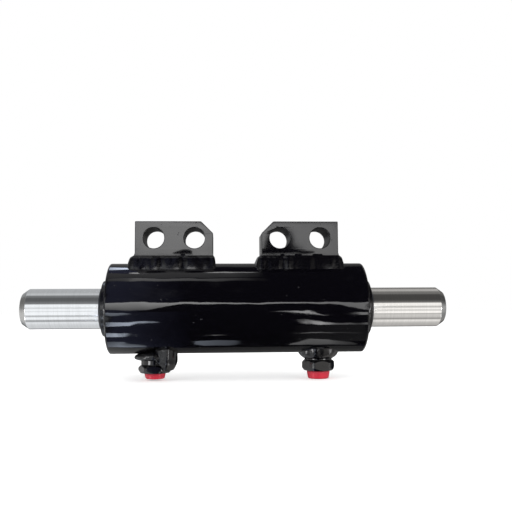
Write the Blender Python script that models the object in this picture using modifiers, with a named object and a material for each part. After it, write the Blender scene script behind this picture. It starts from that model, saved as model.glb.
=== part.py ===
"""Double-rod hydraulic steering cylinder with a 60 mm bore and a 32 mm through rod.

The barrel lies along X, with its two bolted lugs above it and its two oil ports below it.
The origin is the middle of the four bolt holes in the lugs, halfway through their thickness.
All sizes are in metres.
"""

import math

import bmesh
import bpy

# Clearances
SEAT_GAP = 0.0003
SEAL_GAP = 0.00025
WIPE_GAP = 0.0002

# Facets around round pieces
BARREL_FACETS = 40
TURNED_FACETS = 28
RING_FACETS = 24
PORT_FACETS = 18
DRILL_FACETS = 8
CORD_FACETS = 5
SHARP_ANGLE = math.radians(32)

# Barrel
BARREL_LENGTH = 0.202
BORE_R = 0.030
BARREL_WALL = 0.006
BARREL_EDGE = 0.0008
THREAD_STEP = 0.0010
THREAD_DEPTH = 0.0160
MOUTH_EDGE = 0.0006

# Rod
ROD_R = 0.016
ROD_LENGTH = 0.338
ROD_REST_SHIFT = -0.0005
ROD_END_TAPER = 0.0050
ROD_END_DROP = 0.0035
SOCKET_R = 0.0092
SOCKET_DEPTH = 0.0320
SOCKET_EDGE = 0.0010
DRILL_POINT = 0.0053

# Piston, held on the rod by two circlips
PISTON_WIDTH = 0.020
PISTON_EDGE = 0.0008
PISTON_RECESS_WIDTH = 0.0042
PISTON_RECESS_DEPTH = 0.0028
SEAL_GROOVE_WIDTH = 0.0062
SEAL_GROOVE_DEPTH = 0.0060
SLIPPER_THICKNESS = 0.0022
STRIP_GROOVE_WIDTH = 0.0040
STRIP_THICKNESS = 0.0022
STRIP_GROOVE_FROM_FACE = 0.0016
STRIP_SLIT = 0.0015
CLIP_THICKNESS = 0.0017
CLIP_HEIGHT = 0.0045
CLIP_SEAT_DEPTH = 0.0017
CLIP_SLIT = 0.0050
BORE_CORD = 0.0021
BORE_GROOVE_WIDTH = 0.0032
BORE_GROOVE_DEPTH = 0.0023

# Glands, one screwed into each end of the barrel
NOSE_REACH = 0.0055
NOSE_WALL = 0.0017
NOSE_EDGE = 0.0009
HEAD_RECESS = 0.0010
HEAD_EDGE = 0.0008
PILOT_LENGTH = 0.0108
PILOT_DROP = 0.0050
PILOT_SLOT_WIDTH = 0.0060
PILOT_SLOT_DEPTH = 0.0030
SHOULDER_TO_GROOVE = 0.0033
CORD_GROOVE_WIDTH = 0.0063
CORD_GROOVE_DEPTH = 0.0038
GLAND_CORD = 0.0031
BACKUP_WIDTH = 0.0014
SEAL_DEPTH = 0.0045
WIPER_SEAT_LENGTH = 0.0050
WIPER_TO_SEAL = 0.0035
ROD_SEAL_WIDTH = 0.0065
SEAL_TO_GUIDE = 0.0040
GUIDE_WIDTH = 0.0100
GUIDE_DEPTH = 0.0027
GUIDE_SLIT = 0.0020
WIPER_LIP_REACH = 0.0018
WIPER_LIP_THICKNESS = 0.0016
SEAL_LIP_THICKNESS = 0.0013
SEAL_NOTCH_DEPTH = 0.0026
SPANNER_HOLE_R = 0.0030
SPANNER_HOLE_DEPTH = 0.0060
SPANNER_HOLES = 4

# Lugs, welded on top of the barrel
LUG_LENGTH = 0.0615
LUG_SPACING = 0.100
LUG_THICKNESS = 0.030
LUG_EDGE = 0.0005
LUG_CORNER = 0.0095
HOLE_R = 0.00825
HOLE_PITCH = 0.0320
HOLE_OVER_BARREL = 0.0195
HOLE_TO_TOP = 0.0133
FOOT_MARGIN = 0.0020
LUG_WELD_RISE = 0.0055
LUG_WELD_SIDE_SPREAD = 0.0030
LEFT_LUG_OUTER_SPREAD = 0.0055
LEFT_LUG_INNER_SPREAD = 0.0014
RIGHT_LUG_OUTER_SPREAD = 0.0045
RIGHT_LUG_INNER_SPREAD = 0.0045

# Weld beads: each face is a row of (share of the spread, share of the rise)
WELD_PITCH = 0.0075
WELD_CORNER_STATIONS = 3
PLAIN_FACE = ((0.0, 1.0), (0.58, 0.60), (1.0, 0.0))
ROUND_FACE = ((0.0, 1.0), (0.30, 0.84), (0.56, 0.64), (0.82, 0.32), (1.0, 0.0))
ROLLED_FACE = ((0.0, 1.0), (0.45, 0.98), (0.85, 0.80), (1.0, 0.52), (0.84, 0.22), (0.40, 0.0))

# Ports, under the barrel
PORT_FROM_END = 0.0354
OIL_HOLE_R = 0.0040
BOSS_R = 0.0110
BOSS_EDGE = 0.0006
BOSS_THREAD_R = 0.0084
BOSS_THREAD_IN_WALL = 0.0030
BOSS_SEAL_SEAT_R = 0.0101
BOSS_SEAL_SEAT_DEPTH = 0.0022
LEFT_BOSS_REACH = 0.0086
RIGHT_BOSS_REACH = 0.0058
LEFT_PORT_WELD_RISE = 0.0052
RIGHT_PORT_WELD_RISE = 0.0050
LEFT_PORT_WELD_SPREAD = 0.0053
RIGHT_PORT_WELD_SPREAD = 0.0050
PORT_WELD_STATIONS = 24

# Screwed adapters and their push-in plugs
HEX_FLATS = 0.024
LEFT_HEX_HEIGHT = 0.0061
RIGHT_HEX_HEIGHT = 0.0083
HEX_CORNER_CUT = 0.0022
RIGHT_HEX_TURN = math.radians(-7)
SHANK_LENGTH = 0.0080
UNDERCUT_R = 0.0076
UNDERCUT_LENGTH = 0.0024
ADAPTER_CORD = 0.0017
ADAPTER_SOCKET_R = 0.0065
ADAPTER_SOCKET_DEPTH = 0.0100
ADAPTER_SOCKET_EDGE = 0.0008
ADAPTER_PASSAGE_R = 0.0035
LEFT_PLUG_HEAD_R = 0.0083
RIGHT_PLUG_HEAD_R = 0.0092
PLUG_HEAD_TAPER = 0.0009
LEFT_PLUG_HEAD_HEIGHT = 0.0045
RIGHT_PLUG_HEAD_HEIGHT = 0.0063
PLUG_HEAD_ROUND = 0.0014
PLUG_SHANK_LENGTH = 0.0080
PLUG_WALL = 0.0013
PLUG_HOLLOW_DEPTH = 0.0110

# Heavy lump of weld beside the left port
LUMP_START = math.radians(-52)
LUMP_START_FADE = math.radians(75)
LUMP_END = math.radians(86)
LUMP_END_FADE = math.radians(30)
LUMP_SPREAD = 0.0087
LUMP_LIP = 0.0059
LUMP_BROW_SPREAD = 0.0062
LUMP_BROW = 0.0114
LUMP_SHOULDER = 0.0066
WRENCH_ROOM = 0.0006

# Places worked out from the sizes above
BARREL_R = BORE_R + BARREL_WALL
THREAD_R = BORE_R + THREAD_STEP
AXIS_DROP = BARREL_R + HOLE_OVER_BARREL
LUG_MIDDLE = LUG_SPACING / 2
PORT_X = BARREL_LENGTH / 2 - PORT_FROM_END
GLAND_BORE_R = ROD_R + SEAT_GAP
SEAL_GROOVE_R = ROD_R + SEAL_DEPTH
NOSE_R = SEAL_GROOVE_R + NOSE_WALL
HEAD_R = THREAD_R - SEAT_GAP
SPIGOT_R = BORE_R - SEAT_GAP
PISTON_R = BORE_R - SEAT_GAP
SHANK_R = BOSS_THREAD_R - SEAT_GAP
PLUG_SHANK_R = ADAPTER_SOCKET_R - SEAT_GAP
HEX_CORNER_R = HEX_FLATS / 2 / math.cos(math.pi / 6)
NOSE_END = BARREL_LENGTH / 2 + NOSE_REACH
HEAD_END = BARREL_LENGTH / 2 - HEAD_RECESS
SHOULDER = BARREL_LENGTH / 2 - THREAD_DEPTH + SEAT_GAP
PILOT_OUTER = PORT_X + OIL_HOLE_R + 5 * SEAT_GAP
PILOT_INNER = PILOT_OUTER - PILOT_LENGTH
CORD_GROOVE_OUTER = SHOULDER - SHOULDER_TO_GROOVE
CORD_GROOVE_INNER = CORD_GROOVE_OUTER - CORD_GROOVE_WIDTH
WIPER_SEAT = NOSE_END - WIPER_SEAT_LENGTH
ROD_SEAL_OUTER = WIPER_SEAT - WIPER_TO_SEAL
ROD_SEAL_INNER = ROD_SEAL_OUTER - ROD_SEAL_WIDTH
GUIDE_OUTER = ROD_SEAL_INNER - SEAL_TO_GUIDE
GUIDE_INNER = GUIDE_OUTER - GUIDE_WIDTH
SIDES = {"left": -1, "right": 1}
LUG_WELD_ENDS = {
    "left": (LEFT_LUG_OUTER_SPREAD, LEFT_LUG_INNER_SPREAD),
    "right": (RIGHT_LUG_OUTER_SPREAD, RIGHT_LUG_INNER_SPREAD),
}
BOSS_REACH = {"left": LEFT_BOSS_REACH, "right": RIGHT_BOSS_REACH}
PORT_WELD_RISE = {"left": LEFT_PORT_WELD_RISE, "right": RIGHT_PORT_WELD_RISE}
PORT_WELD_SPREAD = {"left": LEFT_PORT_WELD_SPREAD, "right": RIGHT_PORT_WELD_SPREAD}
HEX_HEIGHT = {"left": LEFT_HEX_HEIGHT, "right": RIGHT_HEX_HEIGHT}
HEX_TURN = {"left": 0.0, "right": RIGHT_HEX_TURN}
PLUG_HEAD_R = {"left": LEFT_PLUG_HEAD_R, "right": RIGHT_PLUG_HEAD_R}
PLUG_HEAD_HEIGHT = {"left": LEFT_PLUG_HEAD_HEIGHT, "right": RIGHT_PLUG_HEAD_HEIGHT}


def clear_scene():
    """Starts from an empty scene."""
    for thing in list(bpy.data.objects):
        bpy.data.objects.remove(thing, do_unlink=True)


def new_collection(name):
    """A collection linked to the scene."""
    made = bpy.data.collections.new(name)
    bpy.context.scene.collection.children.link(made)
    return made


def finish(name, colour, roughness, metallic):
    """A plain Principled material."""
    made = bpy.data.materials.new(name)
    made.use_nodes = True
    shader = made.node_tree.nodes["Principled BSDF"]
    shader.inputs["Base Color"].default_value = (*colour, 1.0)
    shader.inputs["Roughness"].default_value = roughness
    shader.inputs["Metallic"].default_value = metallic
    return made


clear_scene()
PARTS = new_collection("steering_cylinder")
CUTTERS = new_collection("cutters")
BLACK_PAINT = finish("black_paint", (0.012, 0.012, 0.016), 0.16, 0.0)
CHROME = finish("chrome_plate", (0.78, 0.78, 0.79), 0.12, 1.0)
TURNED_STEEL = finish("turned_steel", (0.45, 0.45, 0.46), 0.35, 1.0)
SPRING_STEEL = finish("spring_steel", (0.10, 0.10, 0.11), 0.40, 1.0)
SEAL_RUBBER = finish("seal_rubber", (0.02, 0.02, 0.02), 0.60, 0.0)
WIPER_RUBBER = finish("wiper_polyurethane", (0.02, 0.025, 0.03), 0.50, 0.0)
GUIDE_RESIN = finish("guide_resin", (0.30, 0.22, 0.12), 0.55, 0.0)
SLIPPER_RESIN = finish("slipper_resin", (0.16, 0.13, 0.10), 0.45, 0.0)
RED_PLASTIC = finish("red_plastic", (0.70, 0.03, 0.05), 0.40, 0.0)


def pivot(name, location, rotation=(0.0, 0.0, 0.0), parent=None):
    """An empty that carries pieces."""
    made = bpy.data.objects.new(name, None)
    made.empty_display_size = 0.02
    made.location = location
    made.rotation_euler = rotation
    made.parent = parent
    PARTS.objects.link(made)
    return made


def piece(name, mesh, material, parent, rotation=(0.0, 0.0, 0.0), location=(0.0, 0.0, 0.0)):
    """A named object in the parts' collection."""
    made = bpy.data.objects.new(name, mesh)
    made.location = location
    made.rotation_euler = rotation
    made.parent = parent
    PARTS.objects.link(made)
    if not mesh.materials:
        mesh.materials.append(material)
    return made


def as_cutter(thing):
    """Marks an object as a tool that isn't part of the model."""
    PARTS.objects.unlink(thing)
    CUTTERS.objects.link(thing)
    thing.hide_render = True
    thing.display_type = "WIRE"
    return thing


def settle(thing):
    """Gives an object the mesh that its modifiers make, with its round faces shaded smooth."""
    bpy.context.view_layer.update()
    graph = bpy.context.evaluated_depsgraph_get()
    mesh = bpy.data.meshes.new_from_object(thing.evaluated_get(graph))
    mesh.name = thing.name
    thing.modifiers.clear()
    thing.data = mesh
    mesh.shade_smooth()
    mesh.set_sharp_from_angle(angle=SHARP_ANGLE)
    return thing


def combine(target, tools, operation):
    """Cuts, joins or intersects a piece with tools, which are then removed."""
    for tool in tools:
        as_cutter(tool)
        step = target.modifiers.new(operation.title(), "BOOLEAN")
        step.operation = operation
        step.object = tool
    settle(target)
    for tool in tools:
        bpy.data.objects.remove(tool, do_unlink=True)
    return target


def twin(original, name, parent, rotation=(0.0, 0.0, 0.0), location=(0.0, 0.0, 0.0)):
    """A second piece that shares the first one's mesh."""
    return piece(name, original.data, None, parent, rotation, location)


def turned(name, profile, facets, material, parent, **place):
    """A piece turned about its own Z from (radius, height) points.

    The outline runs down its outer side. It is a closed ring unless it starts and ends on the axis.
    """
    points = [(radius, 0.0, height) for radius, height in profile]
    links = [(i, i + 1) for i in range(len(points) - 1)]
    on_axis = profile[0][0] == 0.0 and profile[-1][0] == 0.0
    if not on_axis:
        links.append((len(points) - 1, 0))
    mesh = bpy.data.meshes.new(name)
    mesh.from_pydata(points, links, [])
    made = piece(name, mesh, material, parent, **place)
    turn = made.modifiers.new("Turn", "SCREW")
    turn.axis = "Z"
    turn.angle = math.tau
    turn.steps = facets
    turn.render_steps = facets
    turn.use_merge_vertices = True
    turn.merge_threshold = 1e-6
    return settle(made)


def rod_of(name, radius, low, high, facets, parent, **place):
    """A plain solid cylinder along its own Z, as a tool or a blank."""
    outline = [(0.0, high), (radius, high), (radius, low), (0.0, low)]
    return turned(name, outline, facets, BLACK_PAINT, parent, **place)


def block(name, low, high, parent, **place):
    """A box between two corners, as a tool."""
    mesh = bpy.data.meshes.new(name)
    made = piece(name, mesh, BLACK_PAINT, parent, **place)
    form = bmesh.new()
    bmesh.ops.create_cube(form, size=1.0)
    for corner in form.verts:
        for axis in range(3):
            corner.co[axis] = high[axis] if corner.co[axis] > 0 else low[axis]
    form.to_mesh(mesh)
    form.free()
    return made


def square_ring(inner_r, outer_r, low, high):
    """Outline of a ring with a rectangular section."""
    return [(outer_r, high), (outer_r, low), (inner_r, low), (inner_r, high)]


def cord_ring(middle_r, middle_z, thickness):
    """Outline of an O-ring with a round section."""
    turns = [math.tau * i / CORD_FACETS for i in range(CORD_FACETS)]
    half = thickness / 2
    return [(middle_r + half * math.cos(a), middle_z - half * math.sin(a)) for a in turns]


def arc(centre_r, centre_z, radius, start, end, steps):
    """Points on a round corner of an outline, at angles from +radius towards +height."""
    turns = [start + (end - start) * i / steps for i in range(steps + 1)]
    return [(centre_r + radius * math.cos(a), centre_z + radius * math.sin(a)) for a in turns]


def slit(ring, width, reach, low, high):
    """Cuts a turned ring open on one side, as a snapped-in or wrapped ring is."""
    tool = block("slit", (0.0, -width / 2, low), (reach, width / 2, high), ring.parent)
    tool.location = ring.location
    tool.rotation_euler = ring.rotation_euler
    return combine(ring, [tool], "DIFFERENCE")


ALONG = {"left": (0.0, -math.pi / 2, 0.0), "right": (0.0, math.pi / 2, 0.0)}
DOWN = (math.pi, 0.0, 0.0)

AXIS = pivot("barrel_axis", (0.0, 0.0, -AXIS_DROP))
ROD_PIVOT = pivot("rod_middle", (ROD_REST_SHIFT, 0.0, 0.0), parent=AXIS)
PORTS = {
    side: pivot(f"{side}_port_axis", (sign * PORT_X, 0.0, 0.0), DOWN, AXIS)
    for side, sign in SIDES.items()
}


def make_barrel():
    """Honed tube with a threaded mouth at each end and two stepped oil holes."""
    half = BARREL_LENGTH / 2
    step = half - THREAD_DEPTH
    outline = [
        (BARREL_R - BARREL_EDGE, half),
        (BARREL_R, half - BARREL_EDGE),
        (BARREL_R, BARREL_EDGE - half),
        (BARREL_R - BARREL_EDGE, -half),
        (THREAD_R + MOUTH_EDGE, -half),
        (THREAD_R, MOUTH_EDGE - half),
        (THREAD_R, -step),
        (BORE_R, -step),
        (BORE_R, step),
        (THREAD_R, step),
        (THREAD_R, half - MOUTH_EDGE),
        (THREAD_R + MOUTH_EDGE, half),
    ]
    tube = turned("barrel_tube", outline, BARREL_FACETS, BLACK_PAINT, AXIS, rotation=ALONG["right"])
    seat = BARREL_R - BOSS_THREAD_IN_WALL
    stepped = [
        (0.0, 2 * BARREL_R),
        (BOSS_THREAD_R, 2 * BARREL_R),
        (BOSS_THREAD_R, seat),
        (OIL_HOLE_R, seat),
        (OIL_HOLE_R, BORE_R / 2),
        (0.0, BORE_R / 2),
    ]
    turn = (0.0, 0.0, math.pi / PORT_FACETS)
    tools = [
        turned("oil_hole", stepped, PORT_FACETS, BLACK_PAINT, port, rotation=turn)
        for port in PORTS.values()
    ]
    combine(tube, tools, "DIFFERENCE")


def gland_outline():
    """Section of a gland, with heights measured outwards from the middle of the barrel."""
    guide_r = ROD_R + GUIDE_DEPTH
    cord_r = BORE_R - CORD_GROOVE_DEPTH
    pilot_r = BORE_R - PILOT_DROP
    return [
        (NOSE_R - NOSE_EDGE, NOSE_END),
        (NOSE_R, NOSE_END - NOSE_EDGE),
        (NOSE_R, HEAD_END),
        (HEAD_R - HEAD_EDGE, HEAD_END),
        (HEAD_R, HEAD_END - HEAD_EDGE),
        (HEAD_R, SHOULDER),
        (SPIGOT_R, SHOULDER),
        (SPIGOT_R, CORD_GROOVE_OUTER),
        (cord_r, CORD_GROOVE_OUTER),
        (cord_r, CORD_GROOVE_INNER),
        (SPIGOT_R, CORD_GROOVE_INNER),
        (SPIGOT_R, PILOT_OUTER),
        (pilot_r, PILOT_OUTER),
        (pilot_r, PILOT_INNER),
        (GLAND_BORE_R, PILOT_INNER),
        (GLAND_BORE_R, GUIDE_INNER),
        (guide_r, GUIDE_INNER),
        (guide_r, GUIDE_OUTER),
        (GLAND_BORE_R, GUIDE_OUTER),
        (GLAND_BORE_R, ROD_SEAL_INNER),
        (SEAL_GROOVE_R, ROD_SEAL_INNER),
        (SEAL_GROOVE_R, ROD_SEAL_OUTER),
        (GLAND_BORE_R, ROD_SEAL_OUTER),
        (GLAND_BORE_R, WIPER_SEAT),
        (SEAL_GROOVE_R, WIPER_SEAT),
        (SEAL_GROOVE_R, NOSE_END),
    ]


def make_gland():
    """Screwed gland with spanner holes in its face and oil slots across its inner end."""
    place = {"rotation": ALONG["right"]}
    gland = turned("right_gland", gland_outline(), TURNED_FACETS, BLACK_PAINT, AXIS, **place)
    circle = (NOSE_R + HEAD_R) / 2
    tools = []
    for i in range(SPANNER_HOLES):
        turn = math.tau * (i + 0.5) / SPANNER_HOLES
        low = HEAD_END - SPANNER_HOLE_DEPTH
        hole = rod_of("spanner_hole", SPANNER_HOLE_R, low, NOSE_END, DRILL_FACETS, AXIS)
        hole.rotation_euler = ALONG["right"]
        hole.location = (0.0, circle * math.cos(turn), circle * math.sin(turn))
        tools.append(hole)
    for turn in (0.0, math.pi / 2):
        low = (-BORE_R, -PILOT_SLOT_WIDTH / 2, PILOT_INNER - PILOT_SLOT_DEPTH)
        high = (BORE_R, PILOT_SLOT_WIDTH / 2, PILOT_INNER + PILOT_SLOT_DEPTH)
        slot = block("oil_slot", low, high, AXIS)
        slot.rotation_euler = (turn, math.pi / 2, 0.0)
        tools.append(slot)
    combine(gland, tools, "DIFFERENCE")
    twin(gland, "left_gland", AXIS, ALONG["left"])


def make_gland_rings():
    """O-ring and backup ring around the gland; seal, wiper and guide ring around the rod."""
    cord_floor = BORE_R - CORD_GROOVE_DEPTH
    cord_middle_r = cord_floor + SEAT_GAP + GLAND_CORD / 2
    backup_high = CORD_GROOVE_OUTER - SEAL_GAP
    backup_low = backup_high - BACKUP_WIDTH
    cord_middle_z = (backup_low + CORD_GROOVE_INNER) / 2
    seal_r = SEAL_GROOVE_R - SEAL_GAP
    seal_low = ROD_SEAL_INNER + SEAL_GAP
    seal_high = ROD_SEAL_OUTER - SEAL_GAP
    contact_r = ROD_R + WIPE_GAP
    notch_r = (contact_r + seal_r) / 2
    rod_seal = [
        (seal_r, seal_high),
        (seal_r, seal_low),
        (seal_r - SEAL_LIP_THICKNESS, seal_low),
        (notch_r, seal_low + SEAL_NOTCH_DEPTH),
        (contact_r + SEAL_LIP_THICKNESS, seal_low),
        (contact_r, seal_low),
        (contact_r + SEAL_GAP, seal_high),
    ]
    wiper_low = WIPER_SEAT + SEAL_GAP
    lip_end = NOSE_END + WIPER_LIP_REACH
    wiper = [
        (contact_r + WIPER_LIP_THICKNESS / 2, lip_end),
        (contact_r + WIPER_LIP_THICKNESS, NOSE_END),
        (seal_r, NOSE_END - SEAL_GAP),
        (seal_r, wiper_low),
        (GLAND_BORE_R + SEAL_GAP, wiper_low),
        (GLAND_BORE_R + SEAL_GAP, NOSE_END - WIPER_SEAT_LENGTH / 2),
        (contact_r, lip_end),
    ]
    guide_low = GUIDE_INNER + SEAL_GAP
    guide_high = GUIDE_OUTER - SEAL_GAP
    guide_outer_r = ROD_R + GUIDE_DEPTH - SEAL_GAP
    backup = square_ring(cord_floor + SEAT_GAP, SPIGOT_R, backup_low, backup_high)
    guide = square_ring(contact_r, guide_outer_r, guide_low, guide_high)
    rings = [
        ("gland_o_ring", cord_ring(cord_middle_r, cord_middle_z, GLAND_CORD), SEAL_RUBBER, 0.0),
        ("gland_backup_ring", backup, SLIPPER_RESIN, STRIP_SLIT),
        ("rod_seal", rod_seal, SEAL_RUBBER, 0.0),
        ("rod_wiper", wiper, WIPER_RUBBER, 0.0),
        ("rod_guide_ring", guide, GUIDE_RESIN, GUIDE_SLIT),
    ]
    for name, outline, material, gap in rings:
        place = {"rotation": ALONG["right"]}
        ring = turned(f"right_{name}", outline, RING_FACETS, material, AXIS, **place)
        if gap:
            slit(ring, gap, 2 * BORE_R, 0.0, BARREL_LENGTH)
        twin(ring, f"left_{name}", AXIS, ALONG["left"])


def rod_outline():
    """Section of the rod, with a threaded socket in each end and three grooves for the piston."""
    half = ROD_LENGTH / 2
    clip_low = PISTON_WIDTH / 2 - PISTON_RECESS_DEPTH
    clip_high = clip_low + CLIP_THICKNESS + 2 * SEAT_GAP
    clip_r = ROD_R - CLIP_SEAT_DEPTH
    cord_r = ROD_R - BORE_GROOVE_DEPTH
    upper = [
        (0.0, half - SOCKET_DEPTH - DRILL_POINT),
        (SOCKET_R, half - SOCKET_DEPTH),
        (SOCKET_R, half - SOCKET_EDGE),
        (SOCKET_R + SOCKET_EDGE, half),
        (ROD_R - ROD_END_DROP, half),
        (ROD_R, half - ROD_END_TAPER),
        (ROD_R, clip_high),
        (clip_r, clip_high),
        (clip_r, clip_low),
        (ROD_R, clip_low),
        (ROD_R, BORE_GROOVE_WIDTH / 2),
        (cord_r, BORE_GROOVE_WIDTH / 2),
    ]
    return upper + [(radius, -height) for radius, height in reversed(upper)]


def piston_outline():
    """Section of the piston: one seal groove, two guide strip grooves and a recess at each face."""
    half = PISTON_WIDTH / 2
    strip_high = half - STRIP_GROOVE_FROM_FACE
    strip_low = strip_high - STRIP_GROOVE_WIDTH
    strip_r = PISTON_R - STRIP_THICKNESS
    seal_half = SEAL_GROOVE_WIDTH / 2
    seal_r = PISTON_R - SEAL_GROOVE_DEPTH
    recess_r = ROD_R + PISTON_RECESS_WIDTH
    upper_outside = [
        (PISTON_R - PISTON_EDGE, half),
        (PISTON_R, half - PISTON_EDGE),
        (PISTON_R, strip_high),
        (strip_r, strip_high),
        (strip_r, strip_low),
        (PISTON_R, strip_low),
        (PISTON_R, seal_half),
        (seal_r, seal_half),
    ]
    upper_inside = [
        (GLAND_BORE_R, half - PISTON_RECESS_DEPTH),
        (recess_r, half - PISTON_RECESS_DEPTH),
        (recess_r, half),
    ]
    lower_outside = [(radius, -height) for radius, height in reversed(upper_outside)]
    lower_inside = [(radius, -height) for radius, height in reversed(upper_inside)]
    return upper_outside + lower_outside + lower_inside + upper_inside


def make_rod_and_piston():
    """The through rod, the piston and what holds and seals the piston on the rod."""
    place = {"rotation": ALONG["right"]}
    turned("piston_rod", rod_outline(), TURNED_FACETS, CHROME, ROD_PIVOT, **place)
    turned("piston", piston_outline(), RING_FACETS, TURNED_STEEL, ROD_PIVOT, **place)
    cord_r = ROD_R - BORE_GROOVE_DEPTH + SEAT_GAP + BORE_CORD / 2
    cord = cord_ring(cord_r, 0.0, BORE_CORD)
    turned("piston_bore_o_ring", cord, RING_FACETS, SEAL_RUBBER, ROD_PIVOT, **place)
    clip_inner = ROD_R - CLIP_SEAT_DEPTH + SEAT_GAP
    clip_low = PISTON_WIDTH / 2 - PISTON_RECESS_DEPTH + SEAT_GAP
    clip_high = clip_low + CLIP_THICKNESS
    outline = square_ring(clip_inner, clip_inner + CLIP_HEIGHT, clip_low, clip_high)
    clip = turned("right_piston_circlip", outline, RING_FACETS, SPRING_STEEL, ROD_PIVOT, **place)
    slit(clip, CLIP_SLIT, 2 * ROD_R, 0.0, PISTON_WIDTH)
    twin(clip, "left_piston_circlip", ROD_PIVOT, ALONG["left"])


def make_piston_seals():
    """The rings in the piston's outer grooves, which the bore rubs."""
    place = {"rotation": ALONG["right"]}
    rubbing_r = BORE_R - WIPE_GAP
    slipper_inner = rubbing_r - SLIPPER_THICKNESS
    half = SEAL_GROOVE_WIDTH / 2 - SEAL_GAP
    slipper = square_ring(slipper_inner, rubbing_r, -half, half)
    turned("piston_seal_ring", slipper, RING_FACETS, SLIPPER_RESIN, ROD_PIVOT, **place)
    floor = PISTON_R - SEAL_GROOVE_DEPTH + SEAT_GAP
    ceiling = slipper_inner - SEAT_GAP
    cord = cord_ring((floor + ceiling) / 2, 0.0, ceiling - floor)
    turned("piston_seal_energizer", cord, RING_FACETS, SEAL_RUBBER, ROD_PIVOT, **place)
    high = PISTON_WIDTH / 2 - STRIP_GROOVE_FROM_FACE - SEAL_GAP
    low = high - STRIP_GROOVE_WIDTH + 2 * SEAL_GAP
    inner = PISTON_R - STRIP_THICKNESS + SEAT_GAP
    strip = square_ring(inner, rubbing_r, low, high)
    guide = turned("right_piston_guide_ring", strip, RING_FACETS, GUIDE_RESIN, ROD_PIVOT, **place)
    slit(guide, STRIP_SLIT, 2 * BORE_R, 0.0, PISTON_WIDTH)
    twin(guide, "left_piston_guide_ring", ROD_PIVOT, ALONG["left"])


def barrel_height(across):
    """Height above the barrel's axis at which weld metal meets it, at a distance across it."""
    radius = BARREL_R + SEAT_GAP
    return math.sqrt(radius * radius - across * across)


def make_lugs():
    """The two bolted lugs, cut from thick plate and saddled to the barrel."""
    half = LUG_LENGTH / 2
    foot = math.sqrt(BARREL_R**2 - (LUG_THICKNESS / 2) ** 2) - FOOT_MARGIN - AXIS_DROP
    corners = [
        (-half, foot),
        (half, foot),
        (half, HOLE_TO_TOP),
        (-half + LUG_CORNER, HOLE_TO_TOP),
        (-half, HOLE_TO_TOP - LUG_CORNER),
    ]
    loops = [corners]
    for middle in (-HOLE_PITCH / 2, HOLE_PITCH / 2):
        turns = [-math.tau * (i + 0.5) / PORT_FACETS for i in range(PORT_FACETS)]
        loops.append([(middle + HOLE_R * math.cos(a), HOLE_R * math.sin(a)) for a in turns])
    flat = bpy.data.curves.new("lug_outline", "CURVE")
    flat.dimensions = "2D"
    flat.fill_mode = "BOTH"
    flat.extrude = LUG_THICKNESS / 2
    for loop in loops:
        line = flat.splines.new("POLY")
        line.points.add(len(loop) - 1)
        line.use_cyclic_u = True
        for point, (along, up) in zip(line.points, loop):
            point.co = (along, up, 0.0, 1.0)
    drawn = bpy.data.objects.new("lug_outline", flat)
    PARTS.objects.link(drawn)
    bpy.context.view_layer.update()
    graph = bpy.context.evaluated_depsgraph_get()
    mesh = bpy.data.meshes.new_from_object(drawn.evaluated_get(graph))
    bpy.data.objects.remove(drawn, do_unlink=True)
    form = bmesh.new()
    form.from_mesh(mesh)
    bmesh.ops.remove_doubles(form, verts=form.verts, dist=1e-6)
    form.to_mesh(mesh)
    form.free()
    place = {"location": (LUG_MIDDLE, 0.0, AXIS_DROP), "rotation": (math.pi / 2, 0.0, 0.0)}
    lug = piece("right_mounting_lug", mesh, BLACK_PAINT, AXIS, **place)
    edges = lug.modifiers.new("Edges", "BEVEL")
    edges.width = LUG_EDGE
    edges.segments = 1
    edges.limit_method = "ANGLE"
    edges.angle_limit = math.radians(40)
    settle(lug)
    radius = BARREL_R + SEAT_GAP
    saddle = rod_of("saddle", radius, -BARREL_LENGTH, BARREL_LENGTH, BARREL_FACETS, AXIS)
    saddle.rotation_euler = ALONG["right"]
    combine(lug, [saddle], "DIFFERENCE")
    spin = (math.pi / 2, 0.0, math.pi)
    twin(lug, "left_mounting_lug", AXIS, spin, (-LUG_MIDDLE, 0.0, AXIS_DROP))


def bead_mesh(name, stations):
    """A closed ring of weld metal from sections that each hold the same number of points."""
    form = bmesh.new()
    rows = [[form.verts.new(point) for point in section] for section in stations]
    for near, far in zip(rows, rows[1:] + rows[:1]):
        for i in range(len(near)):
            j = (i + 1) % len(near)
            form.faces.new((near[i], near[j], far[j], far[i]))
    bmesh.ops.remove_doubles(form, verts=form.verts, dist=1e-6)
    bmesh.ops.recalc_face_normals(form, faces=form.faces)
    mesh = bpy.data.meshes.new(name)
    form.to_mesh(mesh)
    form.free()
    return mesh


def bead_section(wall, outward, rise, face):
    """Points across a weld bead: the heel by the wall, then the face from the wall to its toe.

    The face is given as (distance from the wall, share of the rise) pairs. A share over 1
    stands up above the rise.
    """
    spread = face[-1][0]
    toe = barrel_height(wall[1] + outward[1] * spread)
    points = [(wall[0], wall[1], barrel_height(wall[1]))]
    for out, share in face:
        over = max(0.0, share - 1.0) * (rise - BARREL_R)
        height = toe + (rise - toe) * min(1.0, share) + over
        points.append((wall[0] + outward[0] * out, wall[1] + outward[1] * out, height))
    return points


def spread_face(face, spread):
    """A bead's face at its full size."""
    return [(share * spread, up) for share, up in face]


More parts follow.
